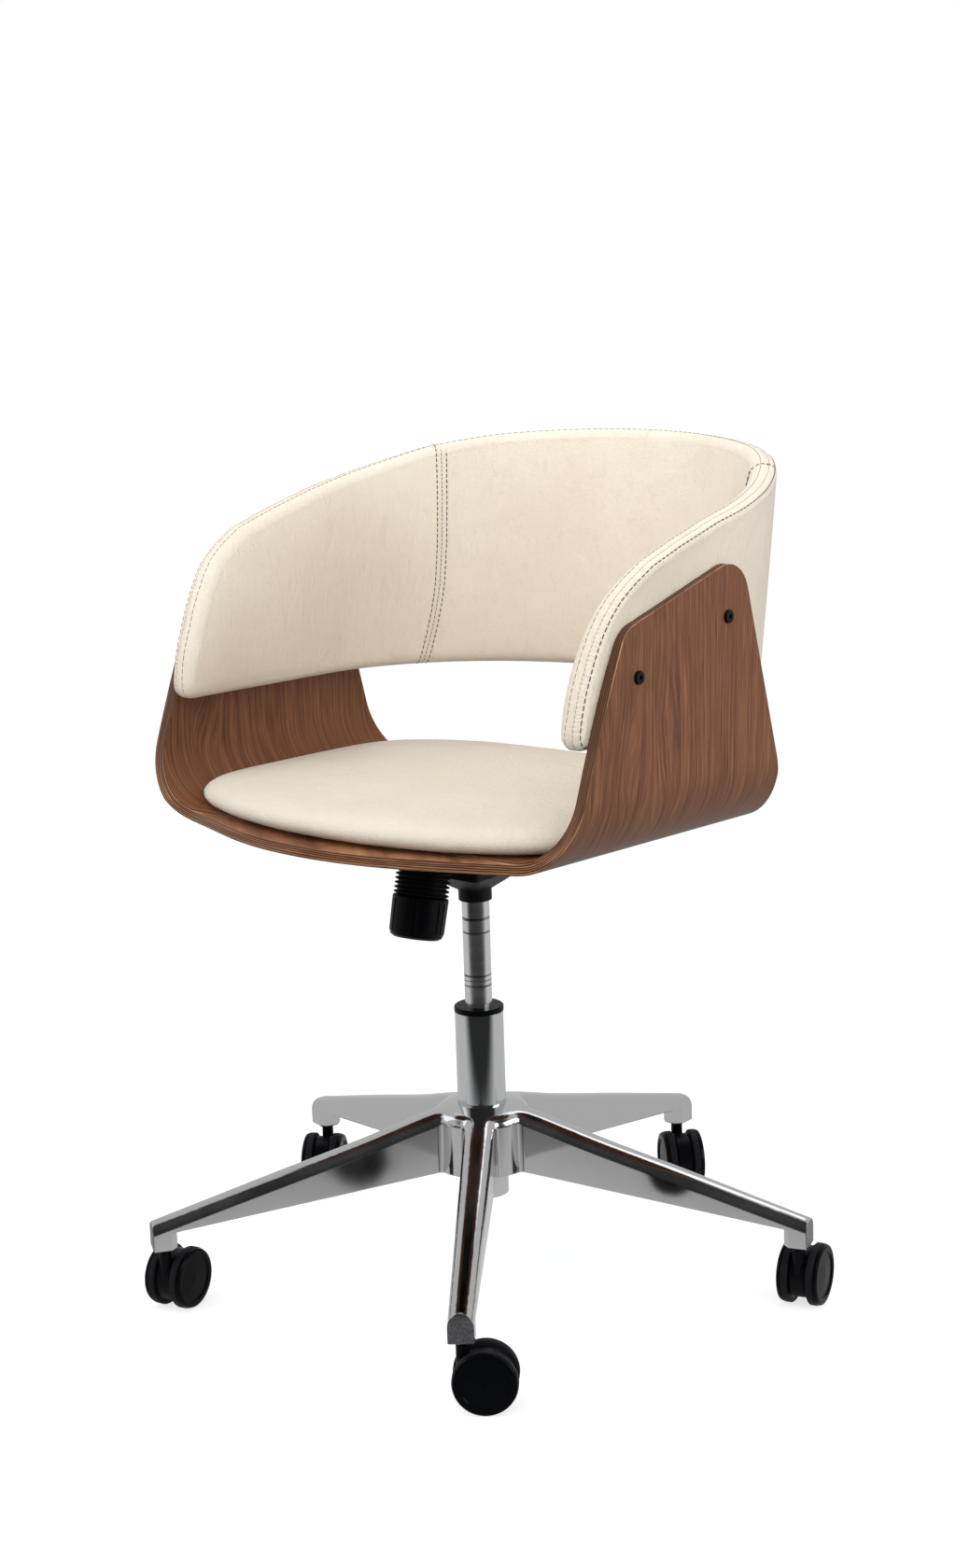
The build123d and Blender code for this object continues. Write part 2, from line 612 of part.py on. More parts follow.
# Gas column: tube, guide bush, sliding cylinder
tube_bore = COLUMN_DIA / 2 - COLUMN_WALL
foot_thickness = 3.0
column_tube = turned(
    [
        (ROD_DIA / 2 + 2, COLUMN_FOOT),
        (COLUMN_DIA / 2, COLUMN_FOOT),
        (COLUMN_DIA / 2, COLUMN_TOP),
        (tube_bore, COLUMN_TOP),
        (tube_bore, COLUMN_FOOT + foot_thickness),
        (ROD_DIA / 2 + 2, COLUMN_FOOT + foot_thickness),
    ]
)
save(column_tube, "column_tube")
bush_foot = COLUMN_TOP - CYLINDER_OVERLAP - 10
bush_bore = CYLINDER_DIA / 2 + SEAM
guide_bush = turned(
    [
        (bush_bore, bush_foot),
        (tube_bore - PRESS, bush_foot),
        (tube_bore - PRESS, COLUMN_TOP),
        (COLUMN_DIA / 2 + 0.4, COLUMN_TOP),
        (COLUMN_DIA / 2 + 0.4, COLUMN_TOP + COLLAR_HEIGHT - 1),
        (COLUMN_DIA / 2 - 0.6, COLUMN_TOP + COLLAR_HEIGHT),
        (bush_bore, COLUMN_TOP + COLLAR_HEIGHT),
    ]
)
save(guide_bush, "guide_bush")
cylinder_foot = COLUMN_TOP - CYLINDER_OVERLAP
cylinder_bore = CYLINDER_DIA / 2 - 2.5
cylinder_roof = cylinder_top - 6
gas_cylinder = turned(
    [
        (ROD_DIA / 2 + SEAM, cylinder_foot),
        (CYLINDER_DIA / 2 - 1, cylinder_foot),
        (CYLINDER_DIA / 2, cylinder_foot + 1),
        (CYLINDER_DIA / 2, cylinder_top),
        (BUTTON_DIA / 2 + 3, cylinder_top),
        (BUTTON_DIA / 2 + 3, cylinder_top + 4),
        (BUTTON_DIA / 2 + SEAM, cylinder_top + 4),
        (BUTTON_DIA / 2 + SEAM, cylinder_roof),
        (cylinder_bore, cylinder_roof),
        (cylinder_bore, cylinder_foot + 8),
        (ROD_DIA / 2 + SEAM, cylinder_foot + 8),
    ]
)
save(gas_cylinder, "gas_cylinder")
button_top = lever_z - LEVER_DIA / 2 - 0.8
save(rod(BUTTON_DIA, (0, 0, cylinder_roof - 4), (0, 0, button_top)), "release_pin")

# Piston and rod, standing on the bearing at the foot of the tube
bearing_foot = COLUMN_FOOT + foot_thickness
bearing_top = bearing_foot + 8
piston_foot = cylinder_foot + 16
piston_rod = rod(ROD_DIA, (0, 0, COLUMN_FOOT - 10), (0, 0, piston_foot))
piston_rod += rod(24, (0, 0, bearing_top + SEAM), (0, 0, bearing_top + 5))
piston_rod += rod(2 * (cylinder_bore - SEAM), (0, 0, piston_foot), (0, 0, piston_foot + 12))
save(piston_rod, "piston_rod")
bearing = turned(
    [
        (ROD_DIA / 2 + 0.6, bearing_foot),
        (16, bearing_foot),
        (16, bearing_top),
        (ROD_DIA / 2 + 0.6, bearing_top),
    ]
)
save(bearing, "thrust_bearing")
clip_foot = COLUMN_FOOT - 7
rod_clip = turned(
    [
        (ROD_DIA / 2 + PRESS, clip_foot),
        (10, clip_foot),
        (10, clip_foot + 2),
        (ROD_DIA / 2 + PRESS, clip_foot + 2),
    ]
)
save(rod_clip, "rod_clip")

# Height lever: bent rod with a flat paddle
lever_turn = LEVER_PIVOT_X - 20
lever_out_z = lever_z - LEVER_DROP / 2
lever_path = FilletPolyline(
    [
        (2, 0, lever_z),
        (lever_turn, 0, lever_z),
        (lever_turn - 30, 0, lever_out_z),
        (-LEVER_REACH + 50, 0, lever_out_z),
    ],
    radius=12,
)
lever_face = Plane(origin=lever_path @ 0, z_dir=lever_path % 0) * Circle(LEVER_DIA / 2)
height_lever = sweep(lever_face, path=lever_path)
paddle_face = Pos(-LEVER_REACH + 32, 0, lever_out_z - 3) * RectangleRounded(64, 26, 11)
paddle = extrude(paddle_face, 6)
height_lever += fillet(paddle.edges().group_by(Axis.Z)[-1] + paddle.edges().group_by(Axis.Z)[0], 2)
height_lever -= rod(
    LEVER_PIN_DIA + 2 * SEAM, (LEVER_PIVOT_X, -20, lever_z), (LEVER_PIVOT_X, 20, lever_z)
)
save(height_lever, "height_lever")


# Five-legged base: a star in plan, cut to a turned ridge and rounded at the shoulders
tip = CASTER_RADIUS + BOSS_LENGTH / 2
beyond = tip + TIP_ROUND
boss_inner = CASTER_RADIUS - BOSS_LENGTH / 2
root_half = LEG_ROOT_WIDTH / 2
tip_half = LEG_TIP_WIDTH / 2
hub_bore = COLUMN_DIA / 2 + PRESS
hub_body = HUB_BODY_DIA / 2
hub_rim = HUB_RIM_DIA / 2
rim_top = HUB_TOP - HUB_CROWN
tip_ridge = BOSS_FOOT + BOSS_HEIGHT
tip_foot = tip_ridge - LEG_TIP_HEIGHT
leg_turns = [Rot(0, 0, LEG_START + k * 360 / LEG_COUNT) for k in range(LEG_COUNT)]
between_legs = Rot(0, 0, LEG_START + 180 / LEG_COUNT)


def along_leg(radius, at_rim, at_tip):
    """Straight-line value at a radius, from the hub's rim out to the tip."""
    return at_rim + (at_tip - at_rim) * (radius - hub_rim) / (tip - hub_rim)


def ridge_point(radius):
    """Point of the ridge line over a leg."""
    return (radius, 0, along_leg(radius, rim_top, tip_ridge))


def room_section(radius):
    """Section of the hollow under a leg."""
    plane = Plane(origin=(radius, 0, 0), x_dir=(0, 1, 0), z_dir=(1, 0, 0))
    half = along_leg(radius, root_half, tip_half) - LEG_WALL
    roof_z = along_leg(radius, rim_top, tip_ridge) - LEG_WALL - 2
    flank = [(-half, 0), (-half, roof_z - LEG_ROUND + LEG_WALL), (-half / 2, roof_z)]
    outline = flank + [(-y, z) for y, z in reversed(flank)]
    return (plane * make_face(Polyline(outline, close=True))).wire()


half_plan = [(0, -root_half), (hub_rim, -root_half), (beyond, -tip_half)]
leg_plan = make_face(Polyline(half_plan + [(x, -y) for x, y in reversed(half_plan)], close=True))
star_plan = Circle(hub_body)
for leg_turn in leg_turns:
    star_plan += leg_turn * leg_plan
web_corners = [v for v in star_plan.vertices() if abs(hypot(v.X, v.Y) - hub_body) < 0.1]
star_plan = fillet(web_corners, HUB_FILLET)
ridge = Spline(
    (0, 0, HUB_TOP),
    ridge_point(hub_rim),
    ridge_point((3 * hub_rim + tip) / 4),
    ridge_point((hub_rim + tip) / 2),
    ridge_point(beyond),
    tangents=[(1, 0, 0), (tip - hub_rim, 0, tip_ridge - rim_top)],
)
under_ridge = Polyline([ridge @ 1, (beyond, 0, 0), (0, 0, 0), ridge @ 0])
ridge_body = revolve(make_face([ridge, *under_ridge.edges()]), Axis.Z)
star_base = extrude(star_plan, HUB_TOP + 10) & (between_legs * ridge_body)
roof = star_base.faces().sort_by(Axis.Z)[-1]
shoulders = []
for edge in roof.edges():
    spot = edge @ 0.5
    if hub_rim < hypot(spot.X, spot.Y) < tip:
        shoulders.append(edge)
star_base = fillet(shoulders, min(LEG_ROUND, tip_half - 1))
end_top = along_leg(tip - TIP_ROUND, rim_top, tip_ridge)
end_foot = tip_ridge - TIP_ROUND
boss_meets = HUB_FOOT + (tip_foot - HUB_FOOT) * (boss_inner - hub_body) / (tip - hub_body)
end_lines = [
    Polyline([(0, 0, HUB_FOOT), (hub_body, 0, HUB_FOOT), (boss_inner, 0, boss_meets)]),
    Polyline([(boss_inner, 0, boss_meets), (boss_inner, 0, BOSS_FOOT), (tip, 0, BOSS_FOOT)]),
    Line((tip, 0, BOSS_FOOT), (tip, 0, end_foot)),
    ThreePointArc(
        (tip, 0, end_foot),
        (tip - TIP_ROUND * 0.3, 0, tip_ridge - TIP_ROUND * 0.22),
        (tip - TIP_ROUND, 0, end_top),
    ),
    Polyline([(tip - TIP_ROUND, 0, end_top), (0, 0, HUB_TOP + 60), (0, 0, HUB_FOOT)]),
]
end_face = make_face([edge for line in end_lines for edge in line.edges()])
star_base = star_base & (between_legs * revolve(end_face, Axis.Z))
boss_edges = []
for edge in star_base.edges().filter_by(Axis.Z):
    spot = edge @ 0.5
    if abs(hypot(spot.X, spot.Y) - hypot(boss_inner, tip_half)) < 2 and spot.Z < boss_meets:
        boss_edges.append(edge)
star_base = chamfer(boss_edges, BOSS_CHAMFER)
star_base = fillet(star_base.edges().group_by(Axis.Z)[0], 2)
room = Solid.make_loft(
    [room_section(hub_body + LEG_WALL), room_section(boss_inner - LEG_WALL)],
    ruled=True,
)
stem_hole = rod(STEM_DIA + 2 * PRESS, (CASTER_RADIUS, 0, BOSS_FOOT - 1), (CASTER_RADIUS, 0, BOSS_FOOT + 20))
for leg_turn in leg_turns:
    star_base -= leg_turn * room
    star_base -= leg_turn * stem_hole
star_base -= rod(2 * hub_bore, (0, 0, HUB_FOOT - 5), (0, 0, HUB_TOP + 5))
save(star_base, "star_base")


def wheel_profile():
    """Wheel body: barrel under the tyre, wide cap with a recessed face."""
    start = HOOD_WIDTH / 2 + 0.8
    end = start + WHEEL_WIDTH
    barrel = wheel_radius - TYRE_DEPTH - SEAM / 2
    cap = wheel_radius - 0.4
    step = start + 0.5 + TYRE_WIDTH + SEAM
    return [
        (AXLE_DIA / 2 + FIT, start),
        (barrel, start),
        (barrel, step),
        (cap, step),
        (cap, end - CAP_ROUND),
        (cap - CAP_ROUND * 0.29, end - CAP_ROUND * 0.29),
        (cap - CAP_ROUND, end),
        (cap * 0.76, end),
        (cap * 0.73, end - 1.4),
        (0, end - 0.6),
        (0, start + WHEEL_WIDTH * 0.7),
        (AXLE_DIA / 2 + FIT, start + WHEEL_WIDTH * 0.7),
    ]


def tyre_profile():
    """Tyre ring with slightly rounded corners."""
    start = HOOD_WIDTH / 2 + 1.3
    inner = wheel_radius - TYRE_DEPTH
    return [
        (inner, start),
        (wheel_radius - 1, start),
        (wheel_radius, start + 1),
        (wheel_radius, start + TYRE_WIDTH - 1),
        (wheel_radius - 1, start + TYRE_WIDTH),
        (inner, start + TYRE_WIDTH),
    ]


# One caster about its axle: X is the axle, the stem stands behind at -Y
neck_top = BOSS_FOOT - SEAM
hood = extrude(Plane.YZ * Circle(HOOD_DIA / 2), HOOD_WIDTH / 2, both=True)
hood = fillet(hood.edges().filter_by(GeomType.CIRCLE), 1.5)
neck_foot_z = -wheel_radius + neck_top
hood += rod(CASTER_NECK_DIA, (0, -CASTER_TRAIL, 0), (0, -CASTER_TRAIL, neck_foot_z))
hood += rod(HOOD_WIDTH, (0, -CASTER_TRAIL + 3, 0), (0, -CASTER_TRAIL + 3, HOOD_DIA / 2 - 8))
hood -= block(-40, 40, -60, 60, -60, -wheel_radius + HOOD_FOOT)
stem_dia = AXLE_DIA
stem_foot = -wheel_radius + 40
hood -= rod(stem_dia + 2 * FIT, (0, -CASTER_TRAIL, stem_foot), (0, -CASTER_TRAIL, 60))
axle_half = HOOD_WIDTH / 2 + 0.8 + WHEEL_WIDTH * 0.7 - 1
hood -= rod(AXLE_DIA + 2 * PRESS, (-axle_half, 0, 0), (axle_half, 0, 0))
axle = rod(AXLE_DIA, (-axle_half, 0, 0), (axle_half, 0, 0))
left_wheel = Rot(0, 90, 0) * turned(wheel_profile())
left_tyre = Rot(0, 90, 0) * turned(tyre_profile())
right_wheel = mirror(left_wheel, Plane.YZ)
right_tyre = mirror(left_tyre, Plane.YZ)
stem = rod(STEM_DIA, (0, 0, BOSS_FOOT), (0, 0, BOSS_FOOT + 19))
stem += rod(stem_dia, (0, 0, wheel_radius + stem_foot + 0.5), (0, 0, BOSS_FOOT))
caster_stems = []
for k, heading in enumerate(CASTER_HEADINGS):
    leg_angle = radians(LEG_START + k * 360 / LEG_COUNT)
    stem_x = CASTER_RADIUS * cos(leg_angle)
    stem_y = CASTER_RADIUS * sin(leg_angle)
    caster_stems.append(Pos(stem_x, stem_y, 0) * stem)
    axle_x = stem_x + CASTER_TRAIL * cos(radians(heading))
    axle_y = stem_y + CASTER_TRAIL * sin(radians(heading))
    place = Location((axle_x, axle_y, wheel_radius), (0, 0, heading - 90))
    name = f"caster_{k + 1}"
    save(place * hood, f"{name}_housing")
    save(place * axle, f"{name}_axle")
    save(place * left_wheel, f"{name}_left_wheel")
    save(place * left_tyre, f"{name}_left_tyre")
    save(place * right_wheel, f"{name}_right_wheel")
    save(place * right_tyre, f"{name}_right_tyre")
save(Compound(children=caster_stems), "caster_stems")
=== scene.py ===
import math

import bmesh
import bpy
import numpy as np
from mathutils import Matrix, Vector
from mathutils.geometry import delaunay_2d_cdt


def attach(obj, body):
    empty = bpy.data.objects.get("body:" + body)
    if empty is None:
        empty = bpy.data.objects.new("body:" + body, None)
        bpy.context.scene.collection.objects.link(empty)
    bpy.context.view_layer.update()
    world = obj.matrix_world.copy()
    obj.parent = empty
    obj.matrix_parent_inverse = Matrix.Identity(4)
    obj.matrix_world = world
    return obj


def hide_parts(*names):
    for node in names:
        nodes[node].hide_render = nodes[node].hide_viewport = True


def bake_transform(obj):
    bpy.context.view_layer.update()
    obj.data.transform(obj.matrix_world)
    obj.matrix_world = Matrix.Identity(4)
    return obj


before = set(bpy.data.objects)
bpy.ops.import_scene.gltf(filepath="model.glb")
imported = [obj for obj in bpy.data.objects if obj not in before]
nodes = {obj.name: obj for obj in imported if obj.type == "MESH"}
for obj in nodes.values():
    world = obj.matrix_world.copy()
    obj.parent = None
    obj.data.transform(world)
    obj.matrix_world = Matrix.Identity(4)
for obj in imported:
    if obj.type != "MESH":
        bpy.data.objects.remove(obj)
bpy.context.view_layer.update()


# Five-legged base
# A star cast in aluminium and polished, so that its reflections waver slightly,
# with rough cast faces at the ends of its legs. Steel caster stems sit in them.
class Nodes:
    """Adds and links the nodes of one tree."""

    def __init__(self, tree):
        self.tree = tree
        tree.nodes.clear()

    def add(self, kind, values=None, **props):
        made = self.tree.nodes.new(kind)
        for key, value in props.items():
            setattr(made, key, value)
        for key, value in (values or {}).items():
            self.put(made.inputs[key], value)
        return made

    def put(self, socket, value):
        if isinstance(value, bpy.types.NodeSocket):
            self.tree.links.new(value, socket)
        elif isinstance(value, bpy.types.Node):
            self.tree.links.new(value.outputs[0], socket)
        elif isinstance(value, (tuple, list)) and len(value) == 3 and socket.type == "RGBA":
            socket.default_value = (*value, 1)
        else:
            socket.default_value = value

    def math(self, operation, a, b=0.0, clamp=False):
        made = self.add("ShaderNodeMath", {0: a, 1: b}, operation=operation, use_clamp=clamp)
        return made.outputs[0]

    def hypot(self, a, b):
        squares = self.math("ADD", self.math("POWER", a, 2.0), self.math("POWER", b, 2.0))
        return self.math("SQRT", squares)

    def remap(self, value, low, high, to_low=0.0, to_high=1.0):
        made = self.add("ShaderNodeMapRange", interpolation_type="SMOOTHSTEP")
        self.put(made.inputs["Value"], value)
        self.put(made.inputs["From Min"], low)
        self.put(made.inputs["From Max"], high)
        self.put(made.inputs["To Min"], to_low)
        self.put(made.inputs["To Max"], to_high)
        return made.outputs[0]

    def near(self, value, centre, full, none):
        """1 within one distance of a centre, falling to 0 at another."""
        gap = self.math("ABSOLUTE", self.math("SUBTRACT", value, centre))
        return self.remap(gap, full, none, 1.0, 0.0)

    def place(self, scale=(1, 1, 1), location=(0, 0, 0), rotation=(0, 0, 0)):
        here = self.add("ShaderNodeTexCoord").outputs["Object"]
        values = {"Vector": here, "Scale": scale, "Location": location, "Rotation": rotation}
        return self.add("ShaderNodeMapping", values).outputs[0]

    def stretch(self, vector, scale):
        return self.add("ShaderNodeMapping", {"Vector": vector, "Scale": scale}).outputs[0]

    def split(self, vector):
        return self.add("ShaderNodeSeparateXYZ", {"Vector": vector}).outputs

    def join(self, x, y, z=0.0):
        return self.add("ShaderNodeCombineXYZ", {"X": x, "Y": y, "Z": z}).outputs[0]

    def dot(self, a, b):
        made = self.add("ShaderNodeVectorMath", {0: a, 1: b}, operation="DOT_PRODUCT")
        return made.outputs["Value"]

    def noise(self, vector, scale, detail=2.0, rough=0.5, distortion=0.0):
        values = {"Vector": vector, "Scale": scale, "Detail": detail, "Roughness": rough}
        made = self.add("ShaderNodeTexNoise", values)
        made.inputs["Distortion"].default_value = distortion
        return made.outputs["Fac"]

    def ramp(self, value, stops):
        made = self.add("ShaderNodeValToRGB", {"Fac": value})
        band = made.color_ramp
        while len(band.elements) < len(stops):
            band.elements.new(0.5)
        for element, (at, colour) in zip(band.elements, stops):
            element.position = at
            element.color = (*colour, 1)
        return made.outputs["Color"]

    def mix(self, share, a, b):
        made = self.add("ShaderNodeMix", data_type="RGBA")
        self.put(made.inputs[0], share)
        self.put(made.inputs[6], a)
        self.put(made.inputs[7], b)
        return made.outputs[2]


class Shader(Nodes):
    """A material on one Principled shader."""

    def __init__(self, name):
        self.material = bpy.data.materials.new(name)
        self.material.use_nodes = True
        super().__init__(self.material.node_tree)
        self.body = self.add("ShaderNodeBsdfPrincipled")
        self.add("ShaderNodeOutputMaterial", {"Surface": self.body})

    def set(self, **values):
        for key, value in values.items():
            self.put(self.body.inputs[key.replace("_", " ")], value)

    def bump(self, height, strength, distance, normal=None):
        values = {"Height": height, "Strength": strength, "Distance": distance}
        made = self.add("ShaderNodeBump", values)
        if normal is not None:
            self.put(made.inputs["Normal"], normal)
        return made.outputs["Normal"]

    def round_edges(self, radius):
        return self.add("ShaderNodeBevel", {"Radius": radius}, samples=4).outputs["Normal"]


def plain(name, colour, rough, metallic=0.0, grain=0.0, grain_scale=800.0, edge=0.0004, **extra):
    """One colour all over, with softened edges and perhaps a fine grain."""
    made = Shader(name)
    made.set(Base_Color=colour, Roughness=rough, Metallic=metallic, **extra)
    normal = made.round_edges(edge)
    if grain:
        normal = made.bump(made.noise(made.place(), grain_scale, 3.0), grain, 0.0004, normal)
    made.set(Normal=normal)
    return made


def dress(names, shader):
    for name in names:
        mesh = nodes[name].data
        mesh.materials.clear()
        mesh.materials.append(shader.material)


BASE_TIP = 0.3481
aluminium = Shader("polished_aluminium")
at_base = aluminium.place()
polish = aluminium.noise(at_base, 14.0, 2.0)
cast = aluminium.noise(at_base, 420.0, 4.0, 0.6)
spot = aluminium.split(at_base)
from_axis = aluminium.hypot(spot["X"], spot["Y"])
rough_end = aluminium.remap(from_axis, BASE_TIP - 0.0012, BASE_TIP - 0.0004)
cast_grey = aluminium.ramp(cast, [(0.3, (0.14, 0.14, 0.15)), (0.7, (0.34, 0.34, 0.36))])
skin = aluminium.mix(rough_end, (0.60, 0.60, 0.605), cast_grey)
dull = aluminium.math("MULTIPLY", rough_end, 0.4)
gloss = aluminium.math("ADD", aluminium.remap(polish, 0.3, 0.7, 0.07, 0.15), dull)
aluminium.set(Base_Color=skin, Metallic=1.0, Roughness=gloss)
wavy = aluminium.bump(polish, 0.07, 0.004, aluminium.round_edges(0.0014))
relief = aluminium.mix(rough_end, (0.5, 0.5, 0.5), cast)
aluminium.set(Normal=aluminium.bump(relief, 0.5, 0.0006, wavy))
dress(["star_base"], aluminium)
zinc = plain("zinc_steel", (0.6, 0.6, 0.58), 0.32, metallic=1.0, grain=0.05)
dress(["caster_stems"], zinc)

# Casters
# Twin wheels of glossy black plastic with dark grey tyres, either side of a satin
# black housing on a steel axle. All five casters are alike.
WHEEL_BLACK, HOUSING_BLACK = (0.0016, 0.0018, 0.0024), (0.0016, 0.0018, 0.0025)
TYRE_GREY = (0.009, 0.009, 0.0105)
gloss_black = plain("gloss_black", WHEEL_BLACK, 0.22, edge=0.0008, Specular_IOR_Level=0.06)
tyre_grey = plain("grey_tyre", TYRE_GREY, 0.5, grain=0.1, grain_scale=900.0, Specular_IOR_Level=0.08)
satin_black = plain(
    "black_plastic", HOUSING_BLACK, 0.34, grain=0.06, grain_scale=1500.0, edge=0.0006, Specular_IOR_Level=0.09
)
for number in range(1, 6):
    dress([f"caster_{number}_housing"], satin_black)
    dress([f"caster_{number}_axle"], zinc)
    for side in ("left", "right"):
        dress([f"caster_{number}_{side}_wheel"], gloss_black)
        dress([f"caster_{number}_{side}_tyre"], tyre_grey)

# Gas column
# A chromed tube with a black plastic collar guides the ground steel cylinder. Dark
# grease has left rings on the cylinder, given here as height and half width.
chrome = plain("chrome_tube", (0.66, 0.67, 0.68), 0.05, metallic=1.0, edge=0.0006)
dress(["column_tube"], chrome)
dress(["guide_bush"], satin_black)
GREASE_RINGS = ((0.3836, 0.0024), (0.3693, 0.0013), (0.3236, 0.0017), (0.3183, 0.0009), (0.3130, 0.0013))
steel = Shader("satin_steel")
height = steel.split(steel.place())["Z"]
streaks = steel.noise(steel.place(scale=(1, 1, 5)), 25.0, 2.0)
smear = steel.noise(steel.place(scale=(1, 1, 3)), 45.0, 3.0, 0.6)
level = steel.math("ADD", height, steel.math("MULTIPLY", steel.math("SUBTRACT", smear, 0.5), 0.0022))
grease = 0.0
for ring, width in GREASE_RINGS:
    grease = steel.math("MAXIMUM", grease, steel.near(level, ring, 0.25 * width, width))
grease = steel.math("MULTIPLY", grease, steel.remap(smear, 0.3, 0.6, 0.45, 0.95), True)
steel.set(Base_Color=steel.mix(grease, (0.74, 0.74, 0.75), (0.06, 0.055, 0.05)), Metallic=1.0)
steel.set(Roughness=steel.remap(streaks, 0.3, 0.7, 0.20, 0.26))
dress(["gas_cylinder", "piston_rod"], steel)
dress(["thrust_bearing", "rod_clip", "release_pin"], zinc)

# Tilt mechanism
# A powder-coated casting on top of the cylinder, pinned to a black steel plate that
# is bolted under the shell. Zinc-plated hardware, rubber stop, ribbed plastic knob.
BLACK_SHEEN = 0.12
powder = plain(
    "black_casting",
    (0.005, 0.005, 0.006),
    0.45,
    grain=0.25,
    grain_scale=1400.0,
    edge=0.001,
    Specular_IOR_Level=BLACK_SHEEN,
)
black_steel = plain(
    "black_steel", (0.003, 0.003, 0.0032), 0.4, grain=0.1, grain_scale=1200.0, Specular_IOR_Level=BLACK_SHEEN
)
rubber = plain(
    "black_rubber", (0.003, 0.003, 0.003), 0.5, grain=0.1, grain_scale=1000.0, Specular_IOR_Level=BLACK_SHEEN
)
dress(["mechanism_housing"], powder)
dress(["mechanism_plate", "height_lever"], black_steel)
dress(["tension_knob"], satin_black)
dress(["tilt_stop"], rubber)
dress(["pivot_pin", "lever_pin", "tension_stud", "spring_cup", "seat_bolts", "seat_tee_nuts"], zinc)

# Spring and its boot
# A steel spring in a ribbed rubber boot, both spun about one leaning axis between
# the housing's ledge and the knob's cup.
STACK_POINT, LEAN = Vector((0.0, -0.0792, 0.4441)), math.radians(13.9)
STACK_UP = Vector((0.0, math.sin(LEAN), math.cos(LEAN)))
BOOT_LOW, BOOT_HIGH, CUP_RIM = -0.0203, 0.0197, -0.0091
BOOT_BORE, BOOT_ROOT, RIB_DEPTH = 0.0229, 0.0237, 0.0041
BOOT_RIBS, RIB_STEPS, BOOT_STEPS = 9, 8, 72
COIL_LOW, COIL_HIGH, COIL_TURNS, COIL_STEPS = -0.0145, 0.0172, 5, 199
COIL_RADIUS, WIRE_RADIUS, WIRE_STEPS = 0.0145, 0.0022, 10


def on_stack(up, radius=0.0):
    return tuple(STACK_POINT + Vector((radius, 0, 0)) + STACK_UP * up)


def closed_line(shape, profile):
    """Edges of a closed profile, given as radius and height on the stack."""
    corners = [shape.verts.new(on_stack(up, radius)) for radius, up in profile]
    return [shape.edges.new(pair) for pair in zip(corners, corners[1:] + corners[:1])]


def finish_piece(name, shape, material):
    """A smooth object from a bmesh, with its faces turned outwards."""
    bmesh.ops.recalc_face_normals(shape, faces=shape.faces)
    mesh = bpy.data.meshes.new(name)
    shape.to_mesh(mesh)
    shape.free()
    mesh.materials.append(material)
    for polygon in mesh.polygons:
        polygon.use_smooth = True
    made = bpy.data.objects.new(name, mesh)
    bpy.context.scene.collection.objects.link(made)
    return made


rib_pitch = (BOOT_HIGH - BOOT_LOW) / BOOT_RIBS
boot_profile = []
for step in range(BOOT_RIBS * RIB_STEPS + 1):
    phase = step / RIB_STEPS
    swing = 0.5 - 0.5 * math.cos(2 * math.pi * phase)
    boot_profile.append((BOOT_ROOT + RIB_DEPTH * swing**0.8, BOOT_LOW + phase * rib_pitch))
boot_profile += [(BOOT_BORE, BOOT_HIGH), (BOOT_BORE, BOOT_LOW)]
shape = bmesh.new()
bmesh.ops.spin(
    shape,
    geom=closed_line(shape, boot_profile),
    cent=STACK_POINT,
    axis=STACK_UP,
    angle=2 * math.pi,
    steps=BOOT_STEPS,
    use_merge=True,
)
boot = finish_piece("spring_boot_soft", shape, rubber.material)
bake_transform(boot)
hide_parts("spring_boot")

wire_profile = []
for step in range(WIRE_STEPS):
    angle = 2 * math.pi * step / WIRE_STEPS
    out, up = WIRE_RADIUS * math.cos(angle), WIRE_RADIUS * math.sin(angle)
    wire_profile.append((COIL_RADIUS + out, COIL_LOW + up))
shape = bmesh.new()
bmesh.ops.spin(
    shape,
    geom=closed_line(shape, wire_profile),
    cent=STACK_POINT,
    axis=STACK_UP,
    dvec=STACK_UP * ((COIL_HIGH - COIL_LOW) / COIL_STEPS),
    angle=2 * math.pi * COIL_TURNS,
    steps=COIL_STEPS,
)
wire_ends = [edge for edge in shape.edges if edge.is_boundary]
bmesh.ops.holes_fill(shape, edges=wire_ends, sides=WIRE_STEPS)
coil = finish_piece("tilt_spring_coil", shape, zinc.material)
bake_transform(coil)
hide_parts("tilt_spring")

# Bent walnut shell
# One bent sheet of plywood faced with walnut, its grain up the sides and round the
# bends. The cut edges show its layers and glue lines and are darkened higher up with
# painted shade, and a pale rim at the arris is partly worn veneer and partly a painted highlight.
PITCH = math.radians(2.3)
SEAT_HEIGHT = 0.4885
SHELL_HALF, PLY, BEND = 0.274, 0.0125, 0.0725
GLUE_LINES = (0.08, 0.25, 0.42, 0.58, 0.75, 0.92)
FACE_TONES = [
    (0.31, (0.042, 0.0135, 0.0055)),
    (0.43, (0.118, 0.042, 0.017)),
    (0.55, (0.188, 0.074, 0.032)),
    (0.68, (0.285, 0.122, 0.054)),
]
LAYER_TONES = [
    (0.34, (0.130, 0.050, 0.025)),
    (0.48, (0.260, 0.110, 0.052)),
    (0.60, (0.380, 0.185, 0.088)),
    (0.72, (0.600, 0.330, 0.150)),
]
walnut = Shader("walnut_ply")
seat_origin = (0, SEAT_HEIGHT * math.sin(PITCH), -SEAT_HEIGHT * math.cos(PITCH))
in_seat = walnut.split(walnut.place(location=seat_origin, rotation=(PITCH, 0, 0)))
seat_x, seat_y, seat_z = in_seat["X"], in_seat["Y"], in_seat["Z"]
half_x = walnut.math("ABSOLUTE", seat_x)
past_x = walnut.math("MAXIMUM", walnut.math("SUBTRACT", half_x, SHELL_HALF - BEND), 0.0)
past_z = walnut.math("MAXIMUM", walnut.math("SUBTRACT", BEND, seat_z), 0.0)
